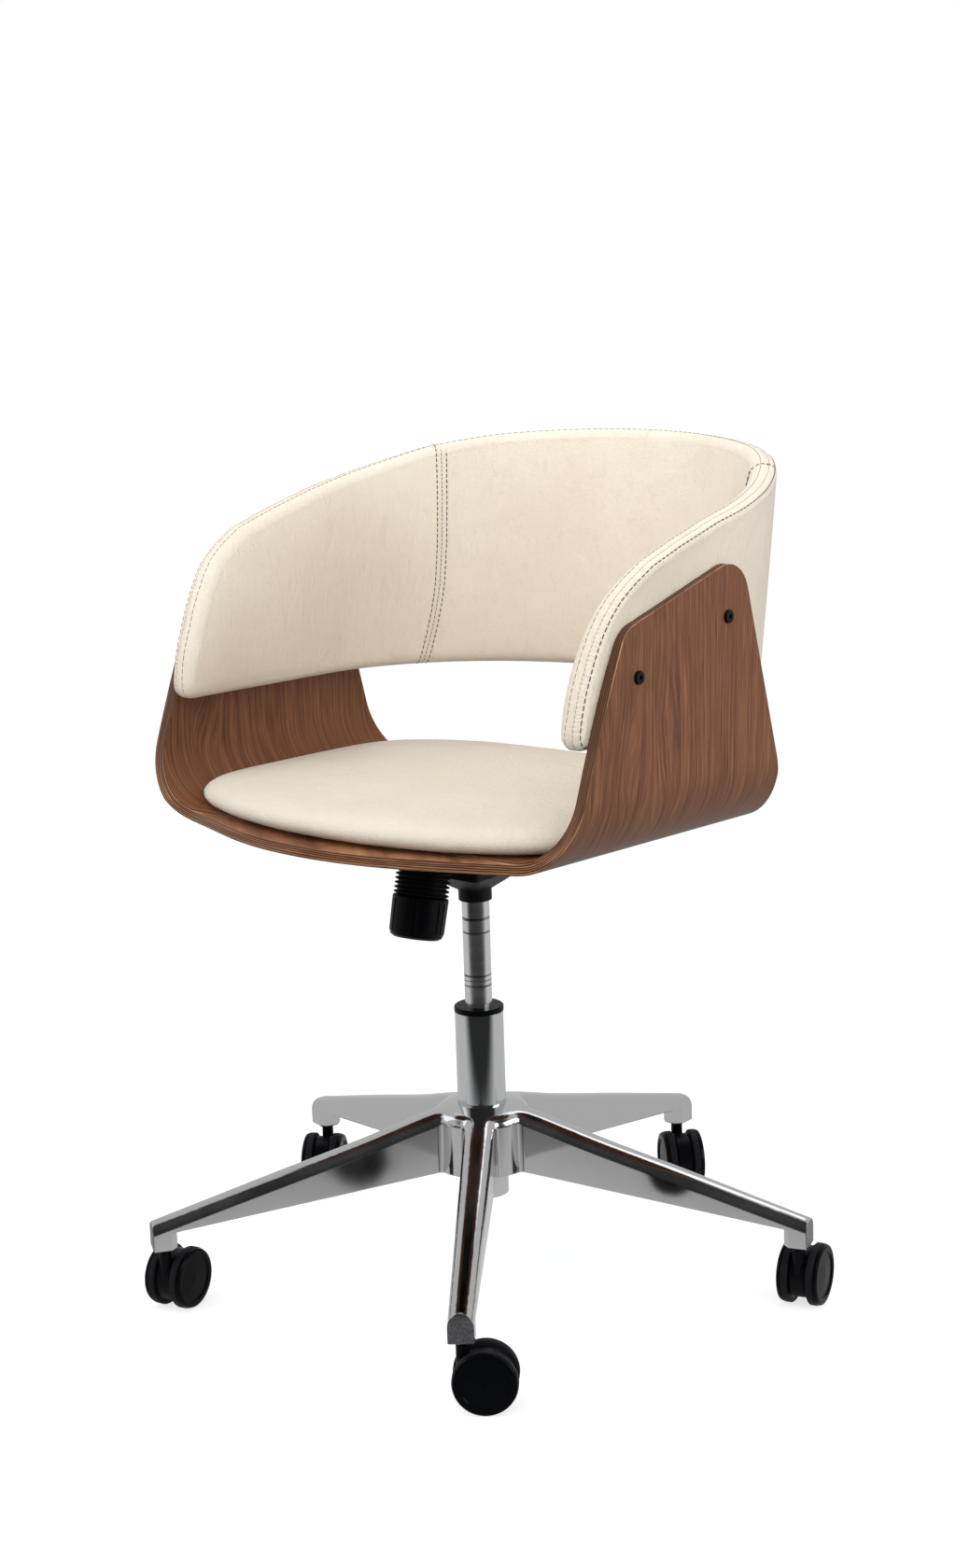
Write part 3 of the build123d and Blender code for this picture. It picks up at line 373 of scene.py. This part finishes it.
depth = walnut.math("SUBTRACT", BEND, walnut.hypot(past_x, past_z))
along = walnut.math("ADD", seat_x, seat_z)
which_side = walnut.math("SIGN", seat_x)
warp = walnut.noise(walnut.stretch(walnut.join(seat_y, along, which_side), (9.0, 2.2, 3.0)), 1.0, 2.0, 0.5)
wander = walnut.remap(seat_y, -0.17, 0.02, 0.13, 0.025)
shifted = walnut.math("ADD", seat_y, walnut.math("MULTIPLY", warp, wander))
grain_at = walnut.join(shifted, along, which_side)
broad = walnut.noise(walnut.stretch(grain_at, (340.0, 4.0, 5.0)), 1.0, 3.0, 0.6)
fine = walnut.noise(walnut.stretch(grain_at, (1150.0, 24.0, 5.0)), 1.0, 2.0, 0.6)
figure = walnut.math("ADD", walnut.math("MULTIPLY", broad, 0.5), walnut.math("MULTIPLY", fine, 0.5))
face = walnut.ramp(figure, FACE_TONES)
patch = walnut.noise(walnut.place(), 35.0, 2.0)
waver = walnut.math("MULTIPLY", walnut.math("SUBTRACT", patch, 0.5), 0.05)
layer_at = walnut.math("ADD", walnut.math("DIVIDE", depth, PLY), waver)
strip_x = walnut.math("MULTIPLY", walnut.math("ADD", along, seat_y), 16.0)
strip_y = walnut.math("MULTIPLY", layer_at, 9.0)
layers = walnut.ramp(walnut.noise(walnut.join(strip_x, strip_y), 1.0, 3.0, 0.6), LAYER_TONES)
for glue in GLUE_LINES:
    layers = walnut.mix(walnut.near(layer_at, glue, 0.025, 0.065), layers, (0.055, 0.021, 0.010))
# Higher up the cut edges are darkened: painted shade under the leather band.
layers = walnut.mix(walnut.remap(seat_z, 0.02, 0.08, 0.0, 0.7), layers, (0.060, 0.024, 0.012))
from_face = walnut.math("MINIMUM", depth, walnut.math("SUBTRACT", PLY, depth))
skin = walnut.mix(walnut.remap(from_face, 0.0002, 0.0006), face, layers)
# The pale rim along the outer arris of the cut edges is partly sanded veneer and partly a painted highlight,
# fainter at the front.
rim = walnut.remap(depth, 0.0012, 0.0024, 1.0, 0.0)
rim = walnut.math("MULTIPLY", walnut.remap(depth, 0.0002, 0.0006), rim)
wear_and_highlight = walnut.remap(patch, 0.35, 0.6, 0.35, 1.0)
wear_and_highlight = walnut.math("MULTIPLY", walnut.remap(seat_y, -0.15, -0.11, 0.3, 1.0), wear_and_highlight)
skin = walnut.mix(walnut.math("MULTIPLY", rim, wear_and_highlight), skin, (0.50, 0.25, 0.105))
walnut.set(Base_Color=skin, Roughness=walnut.remap(fine, 0.3, 0.7, 0.40, 0.5))
walnut.set(Normal=walnut.bump(fine, 0.12, 0.0003, walnut.round_edges(0.0014)))
walnut.set(Specular_IOR_Level=0.15, Coat_Weight=0.1, Coat_Roughness=0.28)
dress(["seat_shell"], walnut)


# Seat pad
# A crowned leather cushion over a thin board on the shell's floor, with rounded sides
# that tuck under. Rings of its outline, as share and level, run from the top to there.
def leather_shader(name, colour, warm):
    """Fine-grained hide; the edge and run attributes place puckers across a sewn border."""
    made = Shader(name)
    here = made.place()
    cells = made.add("ShaderNodeTexVoronoi", {"Vector": here}, feature="DISTANCE_TO_EDGE")
    cells.inputs["Scale"].default_value = 620.0
    grain = made.remap(cells.outputs["Distance"], 0.0, 0.25)
    fine_grain = made.noise(here, 1500.0, 2.0)
    soft = made.noise(made.place(scale=(1, 1, 0.45)), 26.0, 3.0, 0.55, 0.6)
    edge = made.add("ShaderNodeAttribute", attribute_name="edge").outputs["Fac"]
    run = made.add("ShaderNodeAttribute", attribute_name="run").outputs["Fac"]
    pucker_at = made.join(run, made.math("MULTIPLY", edge, 0.004))
    pucker = made.math("MULTIPLY", made.noise(pucker_at, 300.0, 1.0), edge)
    tone = made.noise(here, 9.0, 3.0)
    crease_at = made.place(scale=(1, 1, 0.3), rotation=(0.5, 0.4, 0.3))
    creases = made.noise(crease_at, 190.0, 3.0, 0.6, 0.5)
    hide = made.mix(made.remap(tone, 0.3, 0.75), colour, warm)
    # Darker in the creases and in the hollows of the grain: painted shade.
    hide = made.mix(made.remap(creases, 0.25, 0.5, 0.12, 0.0), hide, (0.55, 0.42, 0.28))
    hide = made.mix(made.remap(grain, 0.0, 0.6, 0.08, 0.0), hide, (0.50, 0.38, 0.25))
    made.set(Base_Color=hide, Roughness=made.remap(fine_grain, 0.3, 0.7, 0.42, 0.52), Sheen_Weight=0.08)
    normal = made.bump(soft, 0.5, 0.005)
    normal = made.bump(pucker, 0.6, 0.0026, normal)
    normal = made.bump(creases, 0.8, 0.0014, normal)
    normal = made.bump(grain, 0.5, 0.0005, normal)
    made.set(Normal=made.bump(fine_grain, 0.15, 0.0003, normal))
    return made


def seat_frame(points):
    """Metres in the chair's frame, from millimetres in the seat's own level frame."""
    p = np.asarray(points, float)
    y = p[:, 1] * math.cos(PITCH) + p[:, 2] * math.sin(PITCH)
    z = SEAT_HEIGHT * 1000 - p[:, 1] * math.sin(PITCH) + p[:, 2] * math.cos(PITCH)
    return np.stack([p[:, 0], y, z], 1) / 1000


def smooth_curve(knots, count):
    """Points spaced evenly along a Catmull-Rom curve through the knots."""
    k = np.array(knots, float)
    k = np.vstack([2 * k[0] - k[1], k, 2 * k[-1] - k[-2]])
    t = np.linspace(0, 1, 40, endpoint=False)[:, None]
    dense = []
    for i in range(1, len(k) - 2):
        a, b, c, d = k[i - 1], k[i], k[i + 1], k[i + 2]
        square, cube = 2 * a - 5 * b + 4 * c - d, 3 * b - a - 3 * c + d
        dense.append(0.5 * (2 * b + (c - a) * t + square * t**2 + cube * t**3))
    dense = np.vstack(dense + [k[-2][None]])
    length = np.concatenate([[0], np.cumsum(np.linalg.norm(np.diff(dense, axis=0), axis=1))])
    even = np.linspace(0, length[-1], count)
    return np.stack([np.interp(even, length, dense[:, i]) for i in range(dense.shape[1])], 1)


def grid_faces(rows, columns, first=0):
    """Quads between rows of points, each row a closed loop."""
    faces = []
    for row in range(rows - 1):
        a = first + row * columns
        for j in range(columns):
            n = (j + 1) % columns
            faces.append((a + j, a + columns + j, a + columns + n, a + n))
    return faces


def formed_piece(name, points, faces, material):
    """A piece from the points and faces of its own form."""
    form = bpy.data.meshes.new("form")
    form.from_pydata([tuple(p) for p in points], [], faces)
    form.validate()
    shape = bmesh.new()
    shape.from_mesh(form)
    bpy.data.meshes.remove(form)
    return finish_piece(name, shape, material)


def add_values(made, name, values):
    attribute = made.data.attributes.new(name, "FLOAT", "POINT")
    attribute.data.foreach_set("value", np.asarray(values, np.float32))


PAD_FOOT, PAD_GAP = 13.1, 0.5
PAD_HALF = [(0, -233), (60, -229), (125, -214), (165, -198), (200, -178), (226, -150), (238, -110)]
PAD_HALF += [(240, -40), (240, 50), (235, 100), (220, 135)]
PAD_HALF += [(195, 158), (162, 176), (123, 189), (60, 196), (0, 198)]
PAD_CENTRE, PAD_TOP = np.array((0.0, -16.0)), 48.0
PAD_RINGS = [(0.25, 47.6), (0.45, 46.6), (0.62, 45.2), (0.76, 43.4), (0.86, 41.2), (0.92, 38.8), (0.96, 35.8)]
PAD_RINGS += [(0.985, 32.0), (1.0, 27.0), (1.0, 22.5), (0.985, 18.0), (0.955, 14.6), (0.90, 13.2)]
PAD_RINGS += [(0.6, PAD_FOOT), (0.2, PAD_FOOT)]
# The pad's leather is the backrest's cream made darker: a shaded copy of one leather, painted shade that
# holds its lit top down.
pad_cream_shaded = leather_shader("seat_leather_shaded_copy", (0.665, 0.592, 0.492), (0.642, 0.56, 0.452))
pad_right = smooth_curve(PAD_HALF, 130)
pad_line = np.vstack([pad_right, (pad_right * (-1, 1))[-2:0:-1]])
around = len(pad_line)
pad_points = [[(*PAD_CENTRE, PAD_TOP)]]
for share, level in PAD_RINGS:
    line = PAD_CENTRE + (pad_line - PAD_CENTRE) * share
    pad_points.append(np.column_stack([line, np.full(around, level)]))
pad_points = np.vstack(pad_points + [[(*PAD_CENTRE, PAD_FOOT)]])
bend_x = (SHELL_HALF - BEND) * 1000
over = np.maximum(np.abs(pad_points[:, 0]) - bend_x, 0)
under = np.maximum(BEND * 1000 - pad_points[:, 2], 0)
far = np.hypot(over, under)
room = (BEND - PLY) * 1000 - PAD_GAP
pull = np.where(far > room, room / np.maximum(far, 1e-9), 1.0)
moved = over > 0
pulled_x = np.sign(pad_points[:, 0]) * (bend_x + over * pull)
pad_points[:, 0] = np.where(moved, pulled_x, pad_points[:, 0])
pad_points[:, 2] = np.where(moved, BEND * 1000 - under * pull, pad_points[:, 2])
last = 1 + (len(PAD_RINGS) - 1) * around
faces = grid_faces(len(PAD_RINGS), around, first=1)
for j in range(around):
    n = (j + 1) % around
    faces.append((0, 1 + j, 1 + n))
    faces.append((last + j, len(pad_points) - 1, last + n))
pad = formed_piece("seat_pad_leather", seat_frame(pad_points), faces, pad_cream_shaded.material)
add_values(pad, "edge", np.zeros(len(pad_points)))
add_values(pad, "run", np.zeros(len(pad_points)))
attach(pad, "seat")
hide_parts("seat_pad")
former = plain("former_ply", (0.36, 0.2, 0.1), 0.6, grain=0.1)
dress(["seat_board"], former)

# Wrap-around backrest
# Padded leather over a bent former, screwed to the shell's sides. Its band is drawn
# flat by run and height, gets a sewn border and a swelled inside, and is wrapped.
ARM_X, BACK_R, CORNER_R, REACH = 250.0, 280.0, 228.0, 284.0
BAND_LOW, BAND_HIGH, BACK_LEAN = 116.0, 368.0, 30.0
GRID_STEP, GRID_MARGIN = 8.0, 4.0
TOP_Y = [-163.5, -160.5, -156, -150.5, -143, -134, -123, -111, -93]
TOP_Y += [-65, -21, 42, 88, 148, 196, 255, 297, 313.5]
TOP_Z = [132, 150, 168, 184, 203, 221, 238, 252, 265.5]
TOP_Z += [281, 295, 312, 322, 336, 349, 360, 365.6, 368]
FLARE_Y = [-165, -150, -134, -111, -93, -65, -21, 42, 88, 148, 200]
FLARE = [0.5, 2, 4, 8, 10, 11.5, 10.5, 9, 6, 3, 0]
TIP = [(-150.5, 184), (-156.5, 168), (-161, 150), (-163.6, 134), (-162.6, 124), (-157.5, 117.8), (-149, 116)]
OUTER_BORDER = [(0.15, 1.0), (0.1, 1.9), (0.5, 3.6), (1.3, 5.4), (2.5, 7.0), (3.5, 7.55), (4.6, 8.6)]
OUTER_BORDER += [(6.3, 9.5), (8.6, 10.0)]
INNER_BORDER = [(0.1, 1.0), (-0.1, 2.2), (-0.3, 4.2), (-0.1, 6.6), (0.7, 8.8), (2.0, 10.6), (3.8, 12.0)]
INNER_BORDER += [(6.2, 12.9), (9.4, 13.4)]
OUTER_PUCKER = (1.0, 1.0, 1.0, 1.0, 1.0, 0.8, 0.6, 0.4, 0.2)
INNER_PUCKER, CREST_PUCKER, CREST_DROP = 0.2, 0.3, 0.8
INNER_SWELL, OUTER_SWELL, FULL_HEIGHT, LEAST_HEIGHT, LEAST_FLARED = 11.0, 0.8, 170.0, 20.0, 30.0
corner_x = ARM_X - CORNER_R
back_turn = math.asin(corner_x / (BACK_R - CORNER_R))
back_y = REACH - BACK_R
corner_y = back_y + (BACK_R - CORNER_R) * math.cos(back_turn)
run_back = BACK_R * back_turn
run_corner = run_back + CORNER_R * (math.pi / 2 - back_turn)
cream = leather_shader("cream_leather", (0.79, 0.70, 0.572), (0.75, 0.648, 0.508))


def band_path(run):
    """Bottom line of the band: x, y and outward normal at each run, 0 at the back."""
    side = np.sign(run)
    r = np.abs(run)
    angle = np.where(r < run_back, r / BACK_R, back_turn + (r - run_back) / CORNER_R)
    angle = np.minimum(angle, math.pi / 2)
    nx, ny = np.sin(angle), np.cos(angle)
    at_back = r < run_back
    x = np.where(at_back, BACK_R * nx, corner_x + CORNER_R * nx)
    y = np.where(at_back, back_y + BACK_R * ny, corner_y + CORNER_R * ny)
    y = y - np.maximum(r - run_corner, 0)
    return x * side, y, nx * side, ny


def band_top(run):
    y, ny = band_path(run)[1::2]
    return np.interp(y + BACK_LEAN * ny * ny, TOP_Y, TOP_Z)


def on_band(run, height, off):
    """Point in the seat frame at a run and height, off the middle sheet by a distance."""
    x, y, nx, ny = band_path(run)
    top = np.maximum(band_top(run), BAND_LOW + LEAST_FLARED)
    v = np.clip((height - BAND_LOW) / (top - BAND_LOW), 0, 1.1)
    flare = np.interp(y, FLARE_Y, FLARE) * np.abs(nx) * v**3
    slope = BACK_LEAN * ny / (BAND_HIGH - BAND_LOW)
    size = np.sqrt(1 + slope**2)
    level = slope * (height - BAND_LOW) + flare + off / size
    return np.column_stack([x + nx * level, y + ny * level, height - off * slope / size])


def swell(run, height, off_sign):
    """How far the padding stands out past the border, inside or outside."""
    tall = np.maximum(band_top(run) - BAND_LOW, LEAST_HEIGHT)
    v = np.clip((height - BAND_LOW) / tall, 0, 1)
    hump = 4 * v * (1 - v)
    full = np.minimum(1, tall / FULL_HEIGHT)
    return np.where(off_sign < 0, INNER_SWELL * full * hump**0.7, OUTER_SWELL * hump)


def run_at(y):
    return run_corner + corner_y - y


top_runs = np.linspace(0, run_at(-143), 200)
tip_line = [(run_at(y), z) for y, z in TIP]
low_line = [(run_at(-120), BAND_LOW), (run_at(-60), BAND_LOW), (run_back, BAND_LOW), (0, BAND_LOW)]
outline = np.vstack([np.column_stack([top_runs, band_top(top_runs)]), tip_line, low_line])
outline = smooth_curve(outline, 330)
outline = np.vstack([outline, (outline * (-1, 1))[-2:0:-1]])
total = len(outline)
tangent = np.roll(outline, -1, 0) - np.roll(outline, 1, 0)
tangent /= np.linalg.norm(tangent, axis=1)[:, None]
inward = np.column_stack([tangent[:, 1], -tangent[:, 0]])
outline_run = np.concatenate([[0], np.cumsum(np.linalg.norm(np.diff(outline, axis=0), axis=1))])


def inside_points(loop):
    """Grid points inside a closed loop, clear of its edge."""
    low, high = loop.min(0), loop.max(0)
    across = np.arange(low[0] + GRID_MARGIN, high[0], GRID_STEP)
    upward = np.arange(low[1] + GRID_MARGIN, high[1], GRID_STEP)
    grid = np.array([(u, w) for u in across for w in upward])
    inside = np.zeros(len(grid), bool)
    for (x0, y0), (x1, y1) in zip(loop, np.roll(loop, -1, 0)):
        crosses = (y0 > grid[:, 1]) != (y1 > grid[:, 1])
        at = x0 + (grid[:, 1] - y0) / (y1 - y0 if y1 != y0 else 1e-9) * (x1 - x0)
        inside ^= crosses & (grid[:, 0] < at)
    close = np.min(np.linalg.norm(grid[:, None, :] - loop[None, ::2, :], axis=2), axis=1)
    return grid[inside & (close > GRID_MARGIN)]


crest = outline + inward * CREST_DROP
band_points = [on_band(crest[:, 0], crest[:, 1], np.zeros(total))]
edge_values, run_values = [np.full(total, CREST_PUCKER)], [outline_run]
faces = []
count = total
for sign, border in ((-1, INNER_BORDER), (1, OUTER_BORDER)):
    before = 0
    thick = border[-1][1]
    for step, (inset, off) in enumerate(border):
        line = outline + inward * inset
        extra = swell(line[:, 0], line[:, 1], sign) * (off / thick) ** 2
        band_points.append(on_band(line[:, 0], line[:, 1], sign * (off + extra)))
        edge_values.append(np.full(total, INNER_PUCKER if sign < 0 else OUTER_PUCKER[step]))
        run_values.append(outline_run)
        for j in range(total):
            n = (j + 1) % total
            faces.append((before + j, before + n, count + n, count + j))
        before = count
        count += total
    loop = outline + inward * border[-1][0]
    grid = inside_points(loop)
    loop_edges = [(j, (j + 1) % total) for j in range(total)]
    flat = [Vector(p) for p in np.vstack([loop, grid])]
    triangles = delaunay_2d_cdt(flat, loop_edges, [], 1, 1e-6)[2]
    for triangle in triangles:
        faces.append(tuple(before + i if i < total else count + i - total for i in triangle))
    extra = swell(grid[:, 0], grid[:, 1], sign)
    band_points.append(on_band(grid[:, 0], grid[:, 1], sign * (thick + extra)))
    edge_values.append(np.zeros(len(grid)))
    run_values.append(np.zeros(len(grid)))
    count += len(grid)
band = formed_piece("backrest_leather", seat_frame(np.vstack(band_points)), faces, cream.material)
add_values(band, "edge", np.concatenate(edge_values))
add_values(band, "run", np.concatenate(run_values) / 1000)
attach(band, "seat")
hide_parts("backrest_inner_pad", "backrest_outer_pad")
dress(["backrest_core"], former)
dress(["arm_screws"], black_steel)
dress(["arm_inserts"], zinc)


# Stitching of the backrest
# Two rows of topstitch beside the border's seam and the two sewn joins at the
# back corners; each stitch is a short rounded thread lying on the leather.
THREAD_SIDES = 6
THREAD_RINGS = ((0.0, -0.5, 0.5), (0.12, 0.1, 0.9), (0.5, 0.35, 1.0), (0.88, 0.1, 0.9), (1.0, -0.5, 0.5))
UPPER_COUNT, DIP_IN, DIP_DOWN = 218, 2.0, 2.4
JOIN_HEIGHT = [114, 135, 156, 179, 201, 245, 289, 345]
JOIN_RUN = [253.4, 248.0, 242.3, 237.1, 233.2, 229.6, 227.8, 226.0]
JOIN_GAP, JOIN_TOP_RUN, JOIN_CLEAR, JOIN_ROUND = 5.5, 230.0, 13.0, (BAND_LOW + 8, 338)
thread = plain("thread", (0.075, 0.05, 0.033), 0.7)
fine_thread = plain("fine_thread", (0.17, 0.115, 0.075), 0.7)


def stitches(name, line, normals, pitch, length, thick, yarn):
    """Short threads along a line of points, lying on a surface with these normals."""
    step = np.linalg.norm(np.diff(line, axis=0), axis=1)
    at = np.concatenate([[0], np.cumsum(step)])
    points, faces = [], []
    for centre in np.arange(pitch / 2, at[-1], pitch):
        start, end = [
            np.array([np.interp(centre + half, at, line[:, i]) for i in range(3)])
            for half in (-length / 2, length / 2)
        ]
        up = np.array([np.interp(centre, at, normals[:, i]) for i in range(3)])
        up /= np.linalg.norm(up)
        forward = (end - start) / np.linalg.norm(end - start)
        across = np.cross(forward, up)
        base = len(points)
        for share, lift, width in THREAD_RINGS:
            middle = start + (end - start) * share + up * thick * lift
            for k in range(THREAD_SIDES):
                angle = 2 * math.pi * k / THREAD_SIDES
                out = across * math.cos(angle) + up * math.sin(angle)
                points.append(middle + out * thick * width * 0.5)
        faces += grid_faces(len(THREAD_RINGS), THREAD_SIDES, first=base)
        faces.append(tuple(range(base, base + THREAD_SIDES)))
        faces.append(tuple(range(len(points) - THREAD_SIDES, len(points))))
    made = formed_piece(name, points, faces, yarn.material)
    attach(made, "seat")


def border_row(inset, off, sign):
    """Points and outward normals of a stitch row on the upper border."""
    line = outline + inward * inset
    thick = INNER_BORDER[-1][1] if sign < 0 else OUTER_BORDER[-1][1]
    extra = swell(line[:, 0], line[:, 1], sign) * (off / thick) ** 2
    row = seat_frame(on_band(line[:, 0], line[:, 1], sign * (off + extra)))
    inner = outline + inward * (inset + DIP_IN)
    beneath = seat_frame(on_band(inner[:, 0], inner[:, 1], sign * (off + extra - DIP_DOWN)))
    upper = np.concatenate([np.arange(total - UPPER_COUNT, total), np.arange(0, UPPER_COUNT + 1)])
    return row[upper], (row - beneath)[upper]


def join_path(side, shift):
    """Run, height and offset of a sewn join: up the inside and over the top edge."""
    top = float(band_top(np.array([JOIN_TOP_RUN]))[0])
    thick = INNER_BORDER[-1][1]
    path = [(BAND_LOW + inset, -off) for inset, off in INNER_BORDER[2:]]
    path += [(h, -thick) for h in np.linspace(BAND_LOW + JOIN_CLEAR, top - JOIN_CLEAR, 50)]
    path += [(top - inset, -off) for inset, off in reversed(INNER_BORDER)]
    path += [(top - inset, off) for inset, off in OUTER_BORDER[:6]]
    height, off = np.array(path).T
    run = side * (np.interp(height, JOIN_HEIGHT, JOIN_RUN) + shift)
    stand = swell(run, height, off) * (np.minimum(np.abs(off), thick) / thick) ** 2
    return run, height, off + np.sign(off) * stand


stitches("outer_topstitch", *border_row(3.5, 7.7, 1), 0.0068, 0.0056, 0.0010, thread)
stitches("inner_topstitch", *border_row(-0.1, 6.6, -1), 0.0068, 0.0060, 0.0006, fine_thread)
stitches("border_seam", *border_row(0.15, 1.7, 1), 0.0044, 0.0038, 0.0005, fine_thread)
for side, side_name in ((-1, "right"), (1, "left")):
    for shift in (-JOIN_GAP, 0.0, JOIN_GAP):
        runs, heights, off = join_path(side, shift)
        row = seat_frame(on_band(runs, heights, off))
        away = row - seat_frame(on_band(runs, np.clip(heights, *JOIN_ROUND), off * 0.5))
        pitch, length, thick = (0.0058, 0.0046, 0.0010) if shift else (0.0044, 0.0036, 0.0007)
        stitches(f"corner_join_{side_name}_{int(shift + 6)}", row, away, pitch, length, thick, thread)

# Camera
# Long lens at the photo's height and angle, with the photo's slight roll.
# The camera looks at the chair from its front left.
YAW, FALL, ROLL = math.radians(39.6), math.radians(12.73), math.radians(-1.87)
CAMERA_PLACE, LENS, SENSOR = (1.8538, -2.2306, 1.1766), 67.9, 36.0
ahead = Vector((-math.sin(YAW) * math.cos(FALL), math.cos(YAW) * math.cos(FALL), -math.sin(FALL)))
right = Vector((math.cos(YAW), math.sin(YAW), 0))
up = right.cross(ahead)
right_rolled = right * math.cos(ROLL) + up * math.sin(ROLL)
up_rolled = up * math.cos(ROLL) - right * math.sin(ROLL)
camera_data = bpy.data.cameras.new("camera")
camera_data.sensor_width = SENSOR
camera_data.lens = LENS
camera_data.clip_end = 100
camera = bpy.data.objects.new("camera", camera_data)
camera_turn = Matrix((right_rolled, up_rolled, -ahead)).transposed().to_4x4()
camera.matrix_world = Matrix.Translation(CAMERA_PLACE) @ camera_turn
bpy.context.scene.collection.objects.link(camera)
bpy.context.scene.camera = camera

# Floor
# White to the camera, with the chair's shadow near it. To reflections alone the floor
# glows grey, dark in front of the chair: a painted reflection of a studio floor and a dark room.
FLOOR_HALF, STUDIO_GREY, DARK_ROOM = 9.0, 0.62, 0.03
FRONT = (math.sin(YAW), -math.cos(YAW), 0.0)
floor_paint = Shader("floor_paint")
ray = floor_paint.add("ShaderNodeLightPath").outputs
clear = floor_paint.math("MAXIMUM", ray["Is Camera Ray"], ray["Is Transmission Ray"])
on_floor = floor_paint.place()
distance = floor_paint.add("ShaderNodeVectorMath", {0: on_floor}, operation="LENGTH").outputs["Value"]
far = floor_paint.remap(distance, 0.7, 1.6)
# The floor's glow seen only in reflections, grey near and dark in front: a painted reflection.
painted_reflection = floor_paint.remap(floor_paint.dot(on_floor, FRONT), 0.2, 0.68, STUDIO_GREY, DARK_ROOM)
glow = floor_paint.math("MULTIPLY", clear, floor_paint.remap(far, 0.0, 1.0, 0.72, 1.0))
glow = floor_paint.math("ADD", glow, floor_paint.math("MULTIPLY", ray["Is Glossy Ray"], painted_reflection))
albedo = floor_paint.math("MULTIPLY", clear, floor_paint.remap(far, 0.0, 1.0, 0.34, 0.0))
albedo = floor_paint.math("ADD", albedo, floor_paint.math("MULTIPLY", ray["Is Diffuse Ray"], 0.2))
grey = floor_paint.add("ShaderNodeCombineColor", {"Red": albedo, "Green": albedo, "Blue": albedo})
floor_paint.set(Base_Color=grey, Roughness=0.8, Specular_IOR_Level=0.0)
floor_paint.set(Emission_Color=(1, 1, 1), Emission_Strength=glow)
floor_mesh = bpy.data.meshes.new("floor")
shape = bmesh.new()
bmesh.ops.create_grid(shape, x_segments=1, y_segments=1, size=FLOOR_HALF)
shape.to_mesh(floor_mesh)
shape.free()
floor_mesh.materials.append(floor_paint.material)
floor = bpy.data.objects.new("floor", floor_mesh)
bpy.context.scene.collection.objects.link(floor)

# Light
# Three soft lamps and a dome that only matt surfaces see, brightest above the
# front. The camera sees white, and reflections see the same studio as the floor's.
LAMP_TINT, DOME_TINT, DOME_CENTRE = (0.96, 0.985, 1.03), (0.98, 1.0, 1.035), (0.12, -0.60, 0.79)


def area_light(name, place, aim, size, power):
    data = bpy.data.lights.new(name, "AREA")
    data.shape = "RECTANGLE"
    data.size, data.size_y = size
    data.energy = power
    data.color = LAMP_TINT
    made = bpy.data.objects.new(name, data)
    look = (Vector(aim) - Vector(place)).to_track_quat("-Z", "Y")
    made.matrix_world = Matrix.Translation(place) @ look.to_matrix().to_4x4()
    bpy.context.scene.collection.objects.link(made)


area_light("back_light", (-0.9, 1.6, 2.9), (0, 0, 0.5), (2.4, 1.8), 16)
area_light("left_light", (-2.7, -1.2, 2.0), (0, 0, 0.5), (1.4, 2.2), 8)
area_light("right_light", (2.7, 0.9, 1.0), (0, 0, 0.55), (1.6, 1.3), 36)

world = bpy.data.worlds.new("studio")
bpy.context.scene.world = world
world.use_nodes = True
sky = Nodes(world.node_tree)
look = sky.add("ShaderNodeTexCoord").outputs["Generated"]
ray = sky.add("ShaderNodeLightPath").outputs
in_front = sky.remap(sky.dot(look, (math.sin(YAW), -math.cos(YAW), 0.7)), 0.52, 0.78)
lift = sky.remap(sky.dot(look, DOME_CENTRE), 0.0, 1.0, 0.10, 2.15)
dome = sky.add("ShaderNodeVectorMath", {0: DOME_TINT, 3: lift}, operation="SCALE").outputs["Vector"]
mirrored = sky.mix(in_front, (STUDIO_GREY,) * 3, (DARK_ROOM,) * 3)
clear = sky.math("MAXIMUM", ray["Is Camera Ray"], ray["Is Transmission Ray"])
colour = sky.mix(clear, sky.mix(ray["Is Glossy Ray"], dome, mirrored), (1, 1, 1))
surround = sky.add("ShaderNodeBackground", {"Color": colour, "Strength": 1.0})
sky.add("ShaderNodeOutputWorld", {"Surface": surround})
bpy.context.scene.view_settings.view_transform = "Standard"
